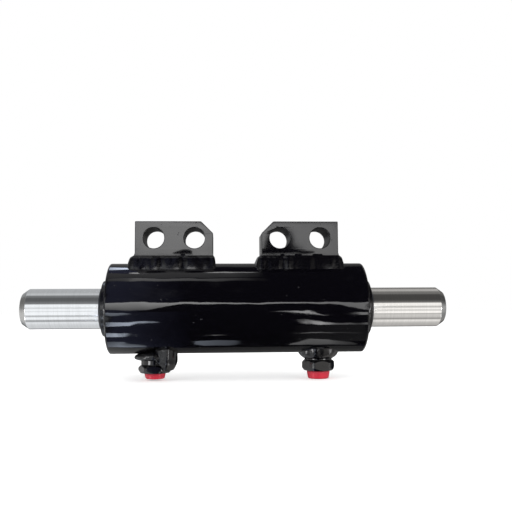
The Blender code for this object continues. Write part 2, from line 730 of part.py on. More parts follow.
def make_lug_welds():
    """The fillet welds that run round the foot of each lug."""
    half_x = LUG_LENGTH / 2 + SEAT_GAP
    half_y = LUG_THICKNESS / 2 + SEAT_GAP
    walls = [
        ((-half_x, -half_y), (half_x, -half_y), -math.pi / 2),
        ((half_x, -half_y), (half_x, half_y), 0.0),
        ((half_x, half_y), (-half_x, half_y), math.pi / 2),
        ((-half_x, half_y), (-half_x, -half_y), math.pi),
    ]
    stations = []
    for start, end, facing in walls:
        steps = max(2, round(math.dist(start, end) / WELD_PITCH))
        for i in range(steps + 1):
            share = i / steps
            wall = [a + (b - a) * share for a, b in zip(start, end)]
            stations.append((wall, facing))
        for i in range(1, WELD_CORNER_STATIONS):
            turn = facing + math.pi / 2 * i / WELD_CORNER_STATIONS
            stations.append((end, turn))
    rise = BARREL_R + LUG_WELD_RISE
    for side, sign in SIDES.items():
        outer, inner = LUG_WELD_ENDS[side]
        sections = []
        for wall, turn in stations:
            outward = (math.cos(turn), math.sin(turn))
            end_spread = outer if outward[0] * sign > 0 else inner
            spread = math.hypot(end_spread * outward[0], LUG_WELD_SIDE_SPREAD * outward[1])
            face = spread_face(PLAIN_FACE, spread)
            sections.append(bead_section(wall, outward, rise, face))
        name = f"{side}_lug_weld"
        place = (sign * LUG_MIDDLE, 0.0, 0.0)
        piece(name, bead_mesh(name, sections), BLACK_PAINT, AXIS, location=place)


def make_boss(side, port):
    """Round boss on the barrel, bored for the adapter's thread and its O-ring."""
    end = BARREL_R + BOSS_REACH[side]
    outline = [
        (BOSS_R - BOSS_EDGE, end),
        (BOSS_R, end - BOSS_EDGE),
        (BOSS_R, BORE_R),
        (BOSS_THREAD_R, BORE_R),
        (BOSS_THREAD_R, end - BOSS_SEAL_SEAT_DEPTH),
        (BOSS_SEAL_SEAT_R, end - BOSS_SEAL_SEAT_DEPTH),
        (BOSS_SEAL_SEAT_R, end),
    ]
    boss = turned(f"{side}_port_boss", outline, PORT_FACETS, BLACK_PAINT, port)
    radius = BARREL_R + SEAT_GAP
    saddle = rod_of("saddle", radius, -BARREL_LENGTH, BARREL_LENGTH, BARREL_FACETS, port)
    saddle.rotation_euler = ALONG["right"]
    combine(boss, [saddle], "DIFFERENCE")


def lump_face(rise):
    """Face of the left port's bead at its thickest, where it stands up clear of a wrench."""
    room = HEX_CORNER_R + WRENCH_ROOM - BOSS_R
    height = rise - BARREL_R
    return [
        (0.0, 1.0),
        (room, 1.0),
        (room + WRENCH_ROOM, (LEFT_BOSS_REACH + LUMP_LIP) / height),
        (LUMP_BROW_SPREAD, LUMP_BROW / height),
        (LUMP_SPREAD, LUMP_SHOULDER / height),
        (LUMP_SPREAD, 0.0),
    ]


def lump_share(turn):
    """How much of the lump's face the left port's bead has, at a turn round the port."""
    turn = (turn + math.pi) % math.tau - math.pi
    start = (turn - LUMP_START) / LUMP_START_FADE
    end = (LUMP_END - turn) / LUMP_END_FADE
    return max(0.0, min(1.0, start, end))


def make_port_weld(side, port):
    """The fillet weld round a boss, with a heavy lump at one side of the left one."""
    wall_r = BOSS_R + SEAT_GAP
    rise = BARREL_R + PORT_WELD_RISE[side]
    shape = ROLLED_FACE if side == "left" else ROUND_FACE
    plain = spread_face(shape, PORT_WELD_SPREAD[side])
    heavy = lump_face(rise) if side == "left" else plain
    sections = []
    for i in range(PORT_WELD_STATIONS):
        turn = math.tau * i / PORT_WELD_STATIONS
        outward = (math.cos(turn), math.sin(turn))
        wall = (wall_r * outward[0], wall_r * outward[1])
        weight = lump_share(turn)
        face = [
            (out + (far - out) * weight, up + (high - up) * weight)
            for (out, up), (far, high) in zip(plain, heavy)
        ]
        sections.append(bead_section(wall, outward, rise, face))
    name = f"{side}_port_weld"
    weld = piece(name, bead_mesh(name, sections), BLACK_PAINT, port)
    settle(weld)


def make_adapter(side, port):
    """Hexagon adapter screwed into the boss, with a socket for the plug."""
    low = BARREL_R + BOSS_REACH[side] + SEAT_GAP
    high = low + HEX_HEIGHT[side]
    flat_r = HEX_FLATS / 2
    name = f"{side}_port_adapter"
    hexagon = rod_of(name, HEX_CORNER_R, low, high, 6, port)
    crown = [
        (0.0, high),
        (flat_r - HEX_CORNER_CUT / 4, high),
        (HEX_CORNER_R - HEX_CORNER_CUT / 4, high - HEX_CORNER_CUT),
        (HEX_CORNER_R - HEX_CORNER_CUT / 4, low + HEX_CORNER_CUT),
        (flat_r - HEX_CORNER_CUT / 4, low),
        (0.0, low),
    ]
    rounding = turned("rounding", crown, PORT_FACETS, BLACK_PAINT, port)
    combine(hexagon, [rounding], "INTERSECT")
    inner = low - SHANK_LENGTH
    shank_outline = [
        (0.0, (low + high) / 2),
        (UNDERCUT_R, (low + high) / 2),
        (UNDERCUT_R, low - UNDERCUT_LENGTH),
        (SHANK_R, low - UNDERCUT_LENGTH),
        (SHANK_R, inner + SOCKET_EDGE),
        (SHANK_R - SOCKET_EDGE, inner),
        (0.0, inner),
    ]
    shank = turned("shank", shank_outline, PORT_FACETS, BLACK_PAINT, port)
    combine(hexagon, [shank], "UNION")
    mouth = ADAPTER_SOCKET_R + ADAPTER_SOCKET_EDGE
    floor = high - ADAPTER_SOCKET_DEPTH
    bore_outline = [
        (0.0, high + SOCKET_EDGE),
        (mouth, high + SOCKET_EDGE),
        (mouth, high),
        (ADAPTER_SOCKET_R, high - ADAPTER_SOCKET_EDGE),
        (ADAPTER_SOCKET_R, floor),
        (ADAPTER_PASSAGE_R, floor - SOCKET_EDGE),
        (ADAPTER_PASSAGE_R, inner - SOCKET_EDGE),
        (0.0, inner - SOCKET_EDGE),
    ]
    bore = turned("bore", bore_outline, PORT_FACETS, BLACK_PAINT, port)
    combine(hexagon, [bore], "DIFFERENCE")
    hexagon.rotation_euler = (0.0, 0.0, HEX_TURN[side])
    cord_r = UNDERCUT_R + SEAT_GAP + ADAPTER_CORD / 2
    cord = cord_ring(cord_r, low - BOSS_SEAL_SEAT_DEPTH / 2, ADAPTER_CORD)
    turned(f"{side}_adapter_o_ring", cord, PORT_FACETS, SEAL_RUBBER, port)


def make_plug(side, port):
    """Thin moulded plug pushed into the adapter, hollow from its outer end."""
    low = BARREL_R + BOSS_REACH[side] + HEX_HEIGHT[side] + 2 * SEAT_GAP
    high = low + PLUG_HEAD_HEIGHT[side]
    round_r = PLUG_HEAD_R[side] - PLUG_HEAD_TAPER
    hollow_r = PLUG_SHANK_R - PLUG_WALL
    middle = (round_r - PLUG_HEAD_ROUND, high - PLUG_HEAD_ROUND)
    corner = arc(*middle, PLUG_HEAD_ROUND, math.pi / 2, 0.0, 2)
    outline = [
        *corner,
        (PLUG_HEAD_R[side], low),
        (PLUG_SHANK_R, low),
        (PLUG_SHANK_R, low - PLUG_SHANK_LENGTH + PLUG_WALL),
        (PLUG_SHANK_R - PLUG_WALL, low - PLUG_SHANK_LENGTH),
        (0.0, low - PLUG_SHANK_LENGTH),
    ]
    floor = high - PLUG_HOLLOW_DEPTH
    hollow = [(0.0, floor), (hollow_r, floor), (hollow_r, high)]
    turned(f"{side}_port_plug", hollow + outline, PORT_FACETS, RED_PLASTIC, port)


make_barrel()
make_gland()
make_gland_rings()
make_rod_and_piston()
make_piston_seals()
make_lugs()
make_lug_welds()
for port_side, port_axis in PORTS.items():
    make_boss(port_side, port_axis)
    make_port_weld(port_side, port_axis)
    make_adapter(port_side, port_axis)
    make_plug(port_side, port_axis)
bpy.context.view_layer.update()
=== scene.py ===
"""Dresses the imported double-rod steering cylinder and its studio.

Laid out as an add-on, but run as a script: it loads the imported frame, registers its
operators and calls them in order. All sizes are in metres, in the frame's own axes.
"""

import functools
import math
import random

import bmesh
import bpy
from bpy.props import FloatProperty, FloatVectorProperty, IntProperty, PointerProperty
from mathutils import Matrix, Vector


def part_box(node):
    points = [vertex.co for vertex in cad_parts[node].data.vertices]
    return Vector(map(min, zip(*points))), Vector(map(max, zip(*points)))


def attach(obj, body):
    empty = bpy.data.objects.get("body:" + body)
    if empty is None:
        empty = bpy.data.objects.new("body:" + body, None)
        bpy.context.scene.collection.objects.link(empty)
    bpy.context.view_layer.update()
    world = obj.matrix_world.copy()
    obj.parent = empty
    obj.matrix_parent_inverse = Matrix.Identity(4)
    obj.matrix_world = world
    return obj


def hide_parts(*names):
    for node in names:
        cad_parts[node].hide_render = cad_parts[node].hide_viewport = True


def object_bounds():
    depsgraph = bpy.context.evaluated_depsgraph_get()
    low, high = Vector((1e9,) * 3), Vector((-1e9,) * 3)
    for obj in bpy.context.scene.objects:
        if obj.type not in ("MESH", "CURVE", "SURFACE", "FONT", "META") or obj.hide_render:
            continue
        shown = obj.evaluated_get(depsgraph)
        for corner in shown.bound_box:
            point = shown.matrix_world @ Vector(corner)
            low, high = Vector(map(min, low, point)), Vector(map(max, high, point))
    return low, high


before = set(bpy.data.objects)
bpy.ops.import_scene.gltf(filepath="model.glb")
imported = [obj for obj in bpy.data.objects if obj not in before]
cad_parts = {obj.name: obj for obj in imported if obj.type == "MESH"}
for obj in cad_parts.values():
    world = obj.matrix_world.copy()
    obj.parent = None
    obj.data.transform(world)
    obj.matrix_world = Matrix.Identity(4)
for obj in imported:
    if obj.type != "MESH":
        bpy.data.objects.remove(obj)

bl_info = {
    "name": "Steering cylinder studio",
    "version": (1, 0, 0),
    "blender": (4, 5, 0),
    "location": "View3D > Sidebar > Cylinder",
    "description": "Builds the visible pieces, finishes and studio of a double-rod steering cylinder",
    "category": "Object",
}

CAD_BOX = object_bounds()

# Places and sizes read from the frame
TUBE_LOW, TUBE_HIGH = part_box("barrel_tube")
TUBE_R = (TUBE_HIGH.z - TUBE_LOW.z) / 2
TUBE_HALF = (TUBE_HIGH.x - TUBE_LOW.x) / 2
AXIS_Z = (TUBE_HIGH.z + TUBE_LOW.z) / 2
ROD_LOW, ROD_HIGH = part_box("piston_rod")
ROD_R = (ROD_HIGH.z - ROD_LOW.z) / 2
ROD_HALF = (ROD_HIGH.x - ROD_LOW.x) / 2
ROD_X = (ROD_HIGH.x + ROD_LOW.x) / 2
LUG_LOW, LUG_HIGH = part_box("right_mounting_lug")
LUG_X = (LUG_HIGH.x + LUG_LOW.x) / 2
LUG_LENGTH = LUG_HIGH.x - LUG_LOW.x
LUG_THICKNESS = LUG_HIGH.y - LUG_LOW.y
GLAND_LOW, GLAND_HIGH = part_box("right_gland")
GLAND_R = (GLAND_HIGH.z - GLAND_LOW.z) / 2
WIPER_LOW, WIPER_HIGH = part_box("right_rod_wiper")
WIPER_R = (WIPER_HIGH.y - WIPER_LOW.y) / 2
PORT_X = (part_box("right_port_boss")[0].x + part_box("right_port_boss")[1].x) / 2
FLOOR_Z = CAD_BOX[0][2] - 0.0002
SIDES = {"left": -1, "right": 1}

# Gap between pieces that fit together, and how deep weld metal sinks into the barrel
SEAT = 0.0003
SINK = 0.0002

# The rod's threaded sockets
THREAD_HEIGHT = 0.0008
THREAD_LEAD = 0.0010
THREAD_RUNOUT = 0.004
DRILL_POINT = 0.0053

# The holes for a spanner in each gland, and the oil holes under the ports
SPANNER_HOLES = 4
SPANNER_R = 0.003
SPANNER_DEPTH = 0.006
OIL_HOLE_R = 0.0082
OIL_HOLE_DEPTH = 0.012

# Inside of a port boss, and the adapter screwed into it
BOSS_FOOT = 0.004
BOSS_BORE_R = 0.0084
BOSS_SEAT_R = 0.0101
BOSS_SEAT_DEPTH = 0.0022
SHANK_R = 0.0081
NECK_R = 0.0076
NECK_LENGTH = 0.0024
HEX_TURN = {"left": 0.0, "right": math.radians(-7)}
HEX_CROWN = 0.0022
HEX_FOOT = 0.0018
SOCKET_DEPTH = 0.010
SOCKET_EDGE = 0.0008
OIL_WAY_R = 0.0035
PLUG_WALL = 0.0013
PLUG_HOLLOW = 0.011

# Facets round what is turned or drilled
FACETS = {
    "saddle": 160,
    "port_bead": 160,
    "gland": 120,
    "wiper": 96,
    "crown": 96,
    "boss": 80,
    "plug": 80,
    "bolt_hole": 72,
    "shank": 64,
    "bore": 64,
    "drill": 32,
}


# Property groups


def length(name, description, default):
    """A length among the settings."""
    return FloatProperty(name=name, description=description, default=default, unit="LENGTH")


def vector(name, description, default, kind="COLOR"):
    """Three numbers among the settings: a colour, place or turn."""
    return FloatVectorProperty(name=name, description=description, default=default, subtype=kind, size=3)


def facet_count(description, default, least):
    """A number of facets among the settings."""
    return IntProperty(name="Facets", description=description, default=default, min=least)


class BarrelSettings(bpy.types.PropertyGroup):
    """Sizes of the visible tube and its glands."""

    bore_radius: length("Bore radius", "Radius of the honed bore", 0.030)
    thread_radius: length("Thread radius", "Radius of the mouths", 0.031)
    thread_depth: length("Thread depth", "Depth of the mouths", 0.016)
    edge: length("Edge", "Rounding of the tube's ends", 0.0008)
    nose_radius: length("Nose radius", "Radius of the gland's nose", 0.0222)
    head_recess: length("Head recess", "How far the gland sits inside the tube's end", 0.001)
    facets: facet_count("Facets round the tube", 160, 48)


class RodSettings(bpy.types.PropertyGroup):
    """Sizes of the chromed rod."""

    end_taper: length("End taper", "Length of the chamfer", 0.005)
    end_drop: length("End drop", "Depth of the chamfer", 0.0035)
    socket_radius: length("Socket radius", "Radius of the threaded hole", 0.0092)
    socket_depth: length("Socket depth", "Depth of the threaded hole", 0.032)
    thread_pitch: length("Thread pitch", "Distance between threads", 0.0015)
    facets: facet_count("Facets round the rod", 128, 32)


class LugSettings(bpy.types.PropertyGroup):
    """Sizes of the bolted lugs."""

    hole_radius: length("Hole radius", "Radius of a bolt hole", 0.00825)
    hole_pitch: length("Hole pitch", "Distance between a lug's holes", 0.032)
    corner: length("Corner", "Chamfer of the inner top corner", 0.0095)
    edge: length("Edge", "Rounding of the plate's edges", 0.0006)


class WeldSettings(bpy.types.PropertyGroup):
    """Sizes of the weld beads."""

    lug_rise: length("Lug rise", "Height of the lug's bead over the tube", 0.0070)
    side_spread: length("Side spread", "Width of a lug's bead along its sides", 0.0042)
    left_outer: length("Left outer spread", "Width of the left lug's bead at its outer end", 0.0055)
    left_inner: length("Left inner spread", "Width of the left lug's bead at its inner end", 0.0014)
    right_outer: length("Right outer spread", "Width of the right lug's bead at its outer end", 0.0045)
    right_inner: length("Right inner spread", "Width of the right lug's bead at its inner end", 0.0045)
    pitch: length("Ripple pitch", "Distance between weld ripples", 0.0042)
    depth: length("Ripple depth", "Depth of weld ripples", 0.00010)
    lump: length("Lumps", "How far the bead's face bulges from even", 0.0003)
    wander: length("Wander", "How far the bead's toe wanders", 0.0006)


class PortSettings(bpy.types.PropertyGroup):
    """Sizes of the ports, their adapters and plugs."""

    boss_radius: length("Boss radius", "Radius of a port boss", 0.011)
    flats: length("Flats", "Width across the adapter's flats", 0.024)
    hex_edge: length("Hexagon edge", "Rounding between the adapter's flats", 0.0016)
    socket_radius: length("Socket radius", "Radius of the adapter's socket", 0.0065)
    spread_left: length("Left spread", "Width of the left port's bead", 0.0053)
    spread_right: length("Right spread", "Width of the right port's bead", 0.005)
    rise_left: length("Left rise", "Height of the left port's bead", 0.0052)
    rise_right: length("Right rise", "Height of the right port's bead", 0.005)
    lump_spread: length("Lump spread", "Reach of the heavy lump on the left port's bead", 0.0087)
    lump_brow: length("Lump brow", "Height of the lump's outer edge over the tube", 0.0114)
    lump_lip: length("Lump lip", "Height of the lump's top over the boss", 0.0059)
    lump_shoulder: length("Lump shoulder", "Height of the lump's widest part over the tube", 0.0066)


class FinishSettings(bpy.types.PropertyGroup):
    """Colours and finishes."""

    paint: vector("Paint", "Gloss black paint", (0.0016, 0.0014, 0.0024))
    chrome: vector("Chrome", "Hard chrome on the rod", (0.80, 0.80, 0.80))
    steel: vector("Steel", "Bare turned steel", (0.42, 0.42, 0.42))
    red: vector("Red plastic", "Transport plugs", (0.74, 0.020, 0.052))
    rubber: vector("Rubber", "Seals", (0.014, 0.014, 0.015))
    resin: vector("Guide resin", "Guide rings", (0.24, 0.15, 0.07))
    slipper: vector("Slipper resin", "Filled slipper rings", (0.10, 0.075, 0.055))
    wave: length("Paint waves", "Height of the waves in the paint", 0.0005)


class StudioSettings(bpy.types.PropertyGroup):
    """Camera and light."""

    camera: vector(
        "Camera", "Place of the camera from the barrel's middle", (-0.01457, -0.51923, 0.00254), "TRANSLATION"
    )
    turn: vector("Camera turn", "Yaw, pitch and roll", (0.05809, 0.07610, -0.00559), "EULER")
    lens: FloatProperty(name="Lens", description="Focal length", default=44.87, subtype="DISTANCE_CAMERA")
    backdrop: FloatProperty(name="Backdrop", description="Brightness of the background", default=1.0)
    fill: FloatProperty(name="Fill", description="Brightness of the room's light", default=0.75)
    key: FloatProperty(name="Key", description="Power of the key light", default=9.0, subtype="POWER")


# Node tools


def connect(tree, value, socket):
    """Links a socket, or sets a plain value."""
    if isinstance(value, bpy.types.NodeSocket):
        tree.links.new(value, socket)
    else:
        socket.default_value = value


def node_of(tree, kind, **inputs):
    """A shader node with its inputs set by name; a socket given as a value is linked."""
    made = tree.nodes.new(kind)
    for name, value in inputs.items():
        connect(tree, value, made.inputs[name])
    return made


def math_of(tree, operation, *values, clamp=False):
    """A Math node."""
    made = tree.nodes.new("ShaderNodeMath")
    made.operation = operation
    made.use_clamp = clamp
    for value, socket in zip(values, made.inputs):
        connect(tree, value, socket)
    return made.outputs[0]


def product(tree, first, second):
    """Two values multiplied."""
    return math_of(tree, "MULTIPLY", first, second)


def mix_of(tree, factor, first, second, blend="MIX"):
    """A colour Mix node."""
    made = tree.nodes.new("ShaderNodeMix")
    made.data_type = "RGBA"
    made.blend_type = blend
    for value, index in ((factor, 0), (first, 6), (second, 7)):
        connect(tree, value, made.inputs[index])
    return made.outputs[2]


def span_of(tree, value, low, high):
    """A Map Range node that goes smoothly from 0 to 1."""
    made = tree.nodes.new("ShaderNodeMapRange")
    made.interpolation_type = "SMOOTHSTEP"
    for item, socket in zip((value, low, high, 0.0, 1.0), made.inputs):
        connect(tree, item, socket)
    return made.outputs[0]


def noise_of(tree, size, stretch=(1.0, 1.0, 1.0), detail=2.0, rough=0.5, warp=0.0, scale=1.0):
    """Noise over the object's own coordinates; size is that of one blotch, in metres."""
    place = tree.nodes.new("ShaderNodeTexCoord").outputs["Object"]
    spread = node_of(tree, "ShaderNodeMapping", Vector=place, Scale=stretch).outputs[0]
    look = {"Scale": math_of(tree, "DIVIDE", scale, size), "Detail": detail, "Roughness": rough}
    return node_of(tree, "ShaderNodeTexNoise", Vector=spread, Distortion=warp, **look).outputs[0]


def bump_of(tree, height, distance, **normal):
    """A Bump node, over the Normal given or the surface's own."""
    made = node_of(tree, "ShaderNodeBump", Strength=1.0, Height=height, Distance=distance, **normal)
    return made.outputs[0]


def lay_out(tree):
    """Sets a tree's nodes in columns, each to the left of those that it feeds."""
    column = {node.name: 0 for node in tree.nodes}
    for _ in tree.nodes:
        for link in tree.links:
            feeder = link.from_node.name
            column[feeder] = max(column[feeder], column[link.to_node.name] + 1)
    filled = {}
    for name, place in column.items():
        filled[place] = filled.get(place, 0) + 1
        tree.nodes[name].location = (-220 * place, -260 * filled[place])


SURFACE = {"Color": "NodeSocketColor", "Roughness": "NodeSocketFloat", "Normal": "NodeSocketVector"}


def new_group(name, **ins):
    """A group that puts out colour, roughness and normal, and the sockets of its inputs."""
    tree = bpy.data.node_groups.new(name, "ShaderNodeTree")
    for label, value in ins.items():
        kind = SURFACE["Color" if label == "Color" else "Roughness"]
        socket = tree.interface.new_socket(label, in_out="INPUT", socket_type=kind)
        socket.default_value = (*value, 1.0) if label == "Color" else value
    for label, kind in SURFACE.items():
        tree.interface.new_socket(label, in_out="OUTPUT", socket_type=kind)
    return tree, tree.nodes.new("NodeGroupInput").outputs


def close_group(tree, *results):
    """Links a group's colour, roughness and normal to what it puts out."""
    sink = tree.nodes.new("NodeGroupOutput")
    for value, socket in zip(results, sink.inputs):
        tree.links.new(value, socket)
    lay_out(tree)
    return tree


# Colours that dust, rubbing, age and flow give a finish
SMEARED = (0.020, 0.020, 0.022, 1.0)
RUBBED = (0.055, 0.052, 0.050, 1.0)
DUSTY_NIB = (0.10, 0.10, 0.105, 1.0)
STAINED = (0.30, 0.29, 0.28, 1.0)
TOOL_MARK = (0.25, 0.25, 0.25, 1.0)
FLOW_MARK = (0.72, 0.70, 0.70, 1.0)
PALE_DUST = (0.35, 0.33, 0.31, 1.0)


@functools.cache
def paint_group():
    """Sprayed gloss paint: long waves, orange peel, dust nibs, dull smears and rubbed spots."""
    base = {"Color": (0.005, 0.005, 0.006), "Roughness": 0.06, "Wave": 0.0002, "Peel": 0.000012}
    tree, ins = new_group("Sprayed paint", **base, Dust=0.3, Rub=0.2, Scale=1.0)
    scale, dust, wave = ins["Scale"], ins["Dust"], ins["Wave"]
    waves = noise_of(tree, 0.018, (0.35, 1.0, 1.0), detail=1.5, rough=0.45, warp=0.3, scale=scale)
    swells = noise_of(tree, 0.007, (0.5, 1.0, 1.0), detail=1.0, rough=0.4, scale=scale)
    peel = noise_of(tree, 0.0011, detail=1.0, scale=scale)
    nibs = noise_of(tree, 0.0028, scale=scale)
    smears = noise_of(tree, 0.022, (0.4, 1.0, 1.0), detail=5.0, rough=0.65, warp=0.8, scale=scale)
    rubs = noise_of(tree, 0.006, (0.7, 1.0, 1.0), detail=6.0, rough=0.7, scale=scale)
    nib = span_of(tree, nibs, 0.735, 0.78)
    smear = span_of(tree, smears, 0.52, 0.75)
    rub = product(tree, span_of(tree, rubs, 0.66, 0.72), ins["Rub"])
    tint = mix_of(tree, product(tree, smear, dust), ins["Color"], SMEARED)
    tint = mix_of(tree, rub, tint, RUBBED)
    tint = mix_of(tree, product(tree, nib, dust), tint, DUSTY_NIB)
    dull = product(tree, smear, product(tree, dust, 0.14))
    rough = math_of(tree, "ADD", ins["Roughness"], dull)
    rough = math_of(tree, "ADD", rough, product(tree, rub, 0.4), clamp=True)
    normal = bump_of(tree, waves, wave)
    normal = bump_of(tree, swells, product(tree, wave, 0.16), Normal=normal)
    normal = bump_of(tree, peel, ins["Peel"], Normal=normal)
    normal = bump_of(tree, nib, 0.00008, Normal=normal)
    return close_group(tree, tint, rough, normal)


@functools.cache
def metal_group():
    """Machined or ground metal: fine marks round the X axis, long faint sweeps and dulled patches."""
    base = {"Color": (0.6, 0.6, 0.6), "Roughness": 0.2, "Marks": 0.000003}
    tree, ins = new_group("Machined metal", **base, Pitch=0.0004, Stain=0.3)
    marks = noise_of(tree, ins["Pitch"], (1.0, 0.02, 0.02), detail=3.0, rough=0.6)
    sweeps = noise_of(tree, 0.004, (0.03, 1.0, 1.0), detail=3.0, rough=0.6)
    stains = noise_of(tree, 0.012, detail=5.0, rough=0.65)
    stain = product(tree, span_of(tree, stains, 0.5, 0.72), ins["Stain"])
    shade = mix_of(tree, stain, ins["Color"], STAINED, "MULTIPLY")
    shade = mix_of(tree, product(tree, span_of(tree, marks, 0.35, 0.7), 0.10), shade, TOOL_MARK, "MULTIPLY")
    spread = product(tree, span_of(tree, sweeps, 0.3, 0.75), 0.05)
    rough = math_of(tree, "ADD", ins["Roughness"], spread)
    rough = math_of(tree, "ADD", rough, product(tree, stain, 0.3), clamp=True)
    return close_group(tree, shade, rough, bump_of(tree, marks, ins["Marks"]))


@functools.cache
def moulded_group():
    """Moulded plastic or rubber: faint grain, flow marks and dust in the low places."""
    base = {"Color": (0.5, 0.5, 0.5), "Roughness": 0.4}
    tree, ins = new_group("Moulded skin", **base, Grain=0.00001, Dust=0.2)
    grain = noise_of(tree, 0.0005, detail=3.0)
    flows = noise_of(tree, 0.006, (1.0, 1.0, 0.4), detail=3.0, rough=0.6, warp=0.5)
    specks = noise_of(tree, 0.0035, detail=5.0, rough=0.7)
    flow = span_of(tree, flows, 0.35, 0.7)
    dust = product(tree, span_of(tree, specks, 0.55, 0.8), ins["Dust"])
    shade = mix_of(tree, product(tree, flow, 0.35), ins["Color"], FLOW_MARK, "MULTIPLY")
    shade = mix_of(tree, dust, shade, PALE_DUST)
    rough = math_of(tree, "ADD", ins["Roughness"], product(tree, flow, 0.10))
    rough = math_of(tree, "ADD", rough, product(tree, dust, 0.4), clamp=True)
    return close_group(tree, shade, rough, bump_of(tree, grain, ins["Grain"]))


def surface(name, group, metallic, **inputs):
    """A Principled material whose colour, roughness and normal come from a shared group."""
    made = bpy.data.materials.new(name)
    made.use_nodes = True
    tree = made.node_tree
    shader = tree.nodes["Principled BSDF"]
    shader.inputs["Metallic"].default_value = metallic
    skin = tree.nodes.new("ShaderNodeGroup")
    skin.node_tree = group()
    for label, value in inputs.items():
        skin.inputs[label].default_value = (*value, 1.0) if label == "Color" else value
    for label in SURFACE:
        tree.links.new(skin.outputs[label], shader.inputs["Base Color" if label == "Color" else label])
    lay_out(tree)
    return made


# Black paint on each kind of piece: material, roughness, share of the waves, height of the orange
# peel, dust, rubbed spots and scale
PAINTS = {
    "panel": ("black paint", 0.05, 1.0, 0.000004, 0.20, 0.05, 1.0),
    "plate": ("black paint on plate", 0.13, 0.25, 0.000004, 0.25, 0.10, 1.0),
    "hole": ("thin black paint in holes", 0.42, 0.0, 0.00001, 0.1, 0.3, 1.0),
    "fitting": ("black paint on fittings", 0.08, 0.5, 0.00002, 0.2, 0.2, 1.6),
    "gland": ("black paint on glands", 0.18, 0.3, 0.00002, 0.6, 0.9, 1.5),
    "weld": ("black paint on weld", 0.17, 0.6, 0.00002, 0.15, 0.15, 2.2),
}
HOLE_PAINT = (0.0016, 0.0015, 0.0017)


@functools.cache
def paint(kind):
    """Black paint as it lies on one kind of piece."""
    look = bpy.context.scene.cylinder_finish
    tint = HOLE_PAINT if kind == "hole" else look.paint
    name, rough, share, *grain = PAINTS[kind]
    rest = dict(zip(("Peel", "Dust", "Rub", "Scale"), grain))
    return surface(name, paint_group, 0.0, Color=tint, Roughness=rough, Wave=look.wave * share, **rest)


def steel(name, roughness, pitch, tint):
    """Bare machined steel."""
    marks = {"Marks": 0.000006, "Pitch": pitch, "Stain": 0.4}
    return surface(name, metal_group, 1.0, Color=tint, Roughness=roughness, **marks)


def moulded(name, tint, roughness, grain, dust):
    """Moulded plastic or rubber."""
    return surface(name, moulded_group, 0.0, Color=tint, Roughness=roughness, Grain=grain, Dust=dust)


# Mesh tools


def piece(name, mesh, *materials):
    """A named object in the scene."""
    made = bpy.data.objects.new(name, mesh)
    bpy.context.scene.collection.objects.link(made)
    mesh.materials.clear()
    for material in materials:
        mesh.materials.append(material)
    return made


def mesh_of(name, points, edges, faces):
    """A mesh made from lists."""
    mesh = bpy.data.meshes.new(name)
    mesh.from_pydata(points, edges, faces)
    return mesh


def mesh_from(name, form):
    """A mesh made from a bmesh, which is then freed."""
    mesh = bpy.data.meshes.new(name)
    form.to_mesh(mesh)
    form.free()
    return mesh


def take_modifiers(thing):
    """Gives an object the mesh that its modifiers make."""
    bpy.context.view_layer.update()
    graph = bpy.context.evaluated_depsgraph_get()
    mesh = bpy.data.meshes.new_from_object(thing.evaluated_get(graph))
    thing.modifiers.clear()
    thing.data = mesh
    mesh.name = thing.name


def settle(thing, angle=30):
    """Makes a piece's modifiers lasting, and shades it smooth except at sharp edges."""
    take_modifiers(thing)
    thing.data.shade_smooth()
    thing.data.set_sharp_from_angle(angle=math.radians(angle))


def flatten(thing):
    """Makes the large faces of a settled piece reflect as true flats, with the rounding at their edges."""
    thing.modifiers.new("Flats", "WEIGHTED_NORMAL").keep_sharp = True
    take_modifiers(thing)


def combine(target, operation, *tools):
    """Cuts, joins or intersects a piece with tools, which are then removed."""
    for tool in tools:
        step = target.modifiers.new(operation.title(), "BOOLEAN")
        step.operation = operation
        step.object = tool
    settle(target)
    for tool in tools:
        bpy.data.objects.remove(tool, do_unlink=True)


# Share of a side that the rounding at one of its ends may take
MOST_CUT = 0.45


def eased(corners, closed, steps):
    """An outline whose corners with a third number are rounded to that radius.

    A point just beyond each end of a rounding keeps reflections straight on the long faces.
    """
    count = len(corners)
    points = []
    for i, corner in enumerate(corners):
        here = Vector(corner[:2])
        radius = corner[2] if len(corner) > 2 else 0.0
        at_end = not closed and i in (0, count - 1)
        if radius <= 0.0 or at_end:
            points.append(tuple(here))
            continue
        before = Vector(corners[i - 1][:2]) - here
        after = Vector(corners[(i + 1) % count][:2]) - here
        cut = radius / math.tan(before.angle(after) / 2)
        cut = min(cut, MOST_CUT * before.length, MOST_CUT * after.length)
        start = here + before.normalized() * cut
        end = here + after.normalized() * cut
        beyond = [way.normalized() * min(0.3 * cut, 0.04 * way.length) for way in (before, after)]
        points.append(tuple(start + beyond[0]))
        for k in range(steps + 1):
            t = k / steps
            points.append(tuple(start * (1 - t) ** 2 + here * 2 * t * (1 - t) + end * t * t))
        points.append(tuple(end + beyond[1]))
    return points


def mirrored(corners):
    """The other end of an outline that is the same at both ends."""
    return [(radius, -height, *rounding) for radius, height, *rounding in reversed(corners)]


def turned(name, corners, facets, matrix, *materials, closed=True, steps=3, angle=30):
    """A piece turned about its own Z from (radius, height, rounding), then placed."""
    points = [(radius, 0.0, height) for radius, height in eased(corners, closed, steps)]
    links = [(i, i + 1) for i in range(len(points) - 1)]
    if closed:
        links.append((len(points) - 1, 0))
    made = piece(name, mesh_of(name, points, links, []), *materials)
    turn = made.modifiers.new("Turn", "SCREW")
    turn.axis = "Z"
    turn.angle = math.tau
    turn.steps = turn.render_steps = facets
    turn.use_merge_vertices = True
    turn.merge_threshold = 1e-6
    settle(made, angle)
    made.data.transform(matrix)
    return made


def along(side):
    """Own Z outwards along the barrel's axis, on one side."""
    return Matrix.Translation((0.0, 0.0, AXIS_Z)) @ Matrix.Rotation(side * math.pi / 2, 4, "Y")


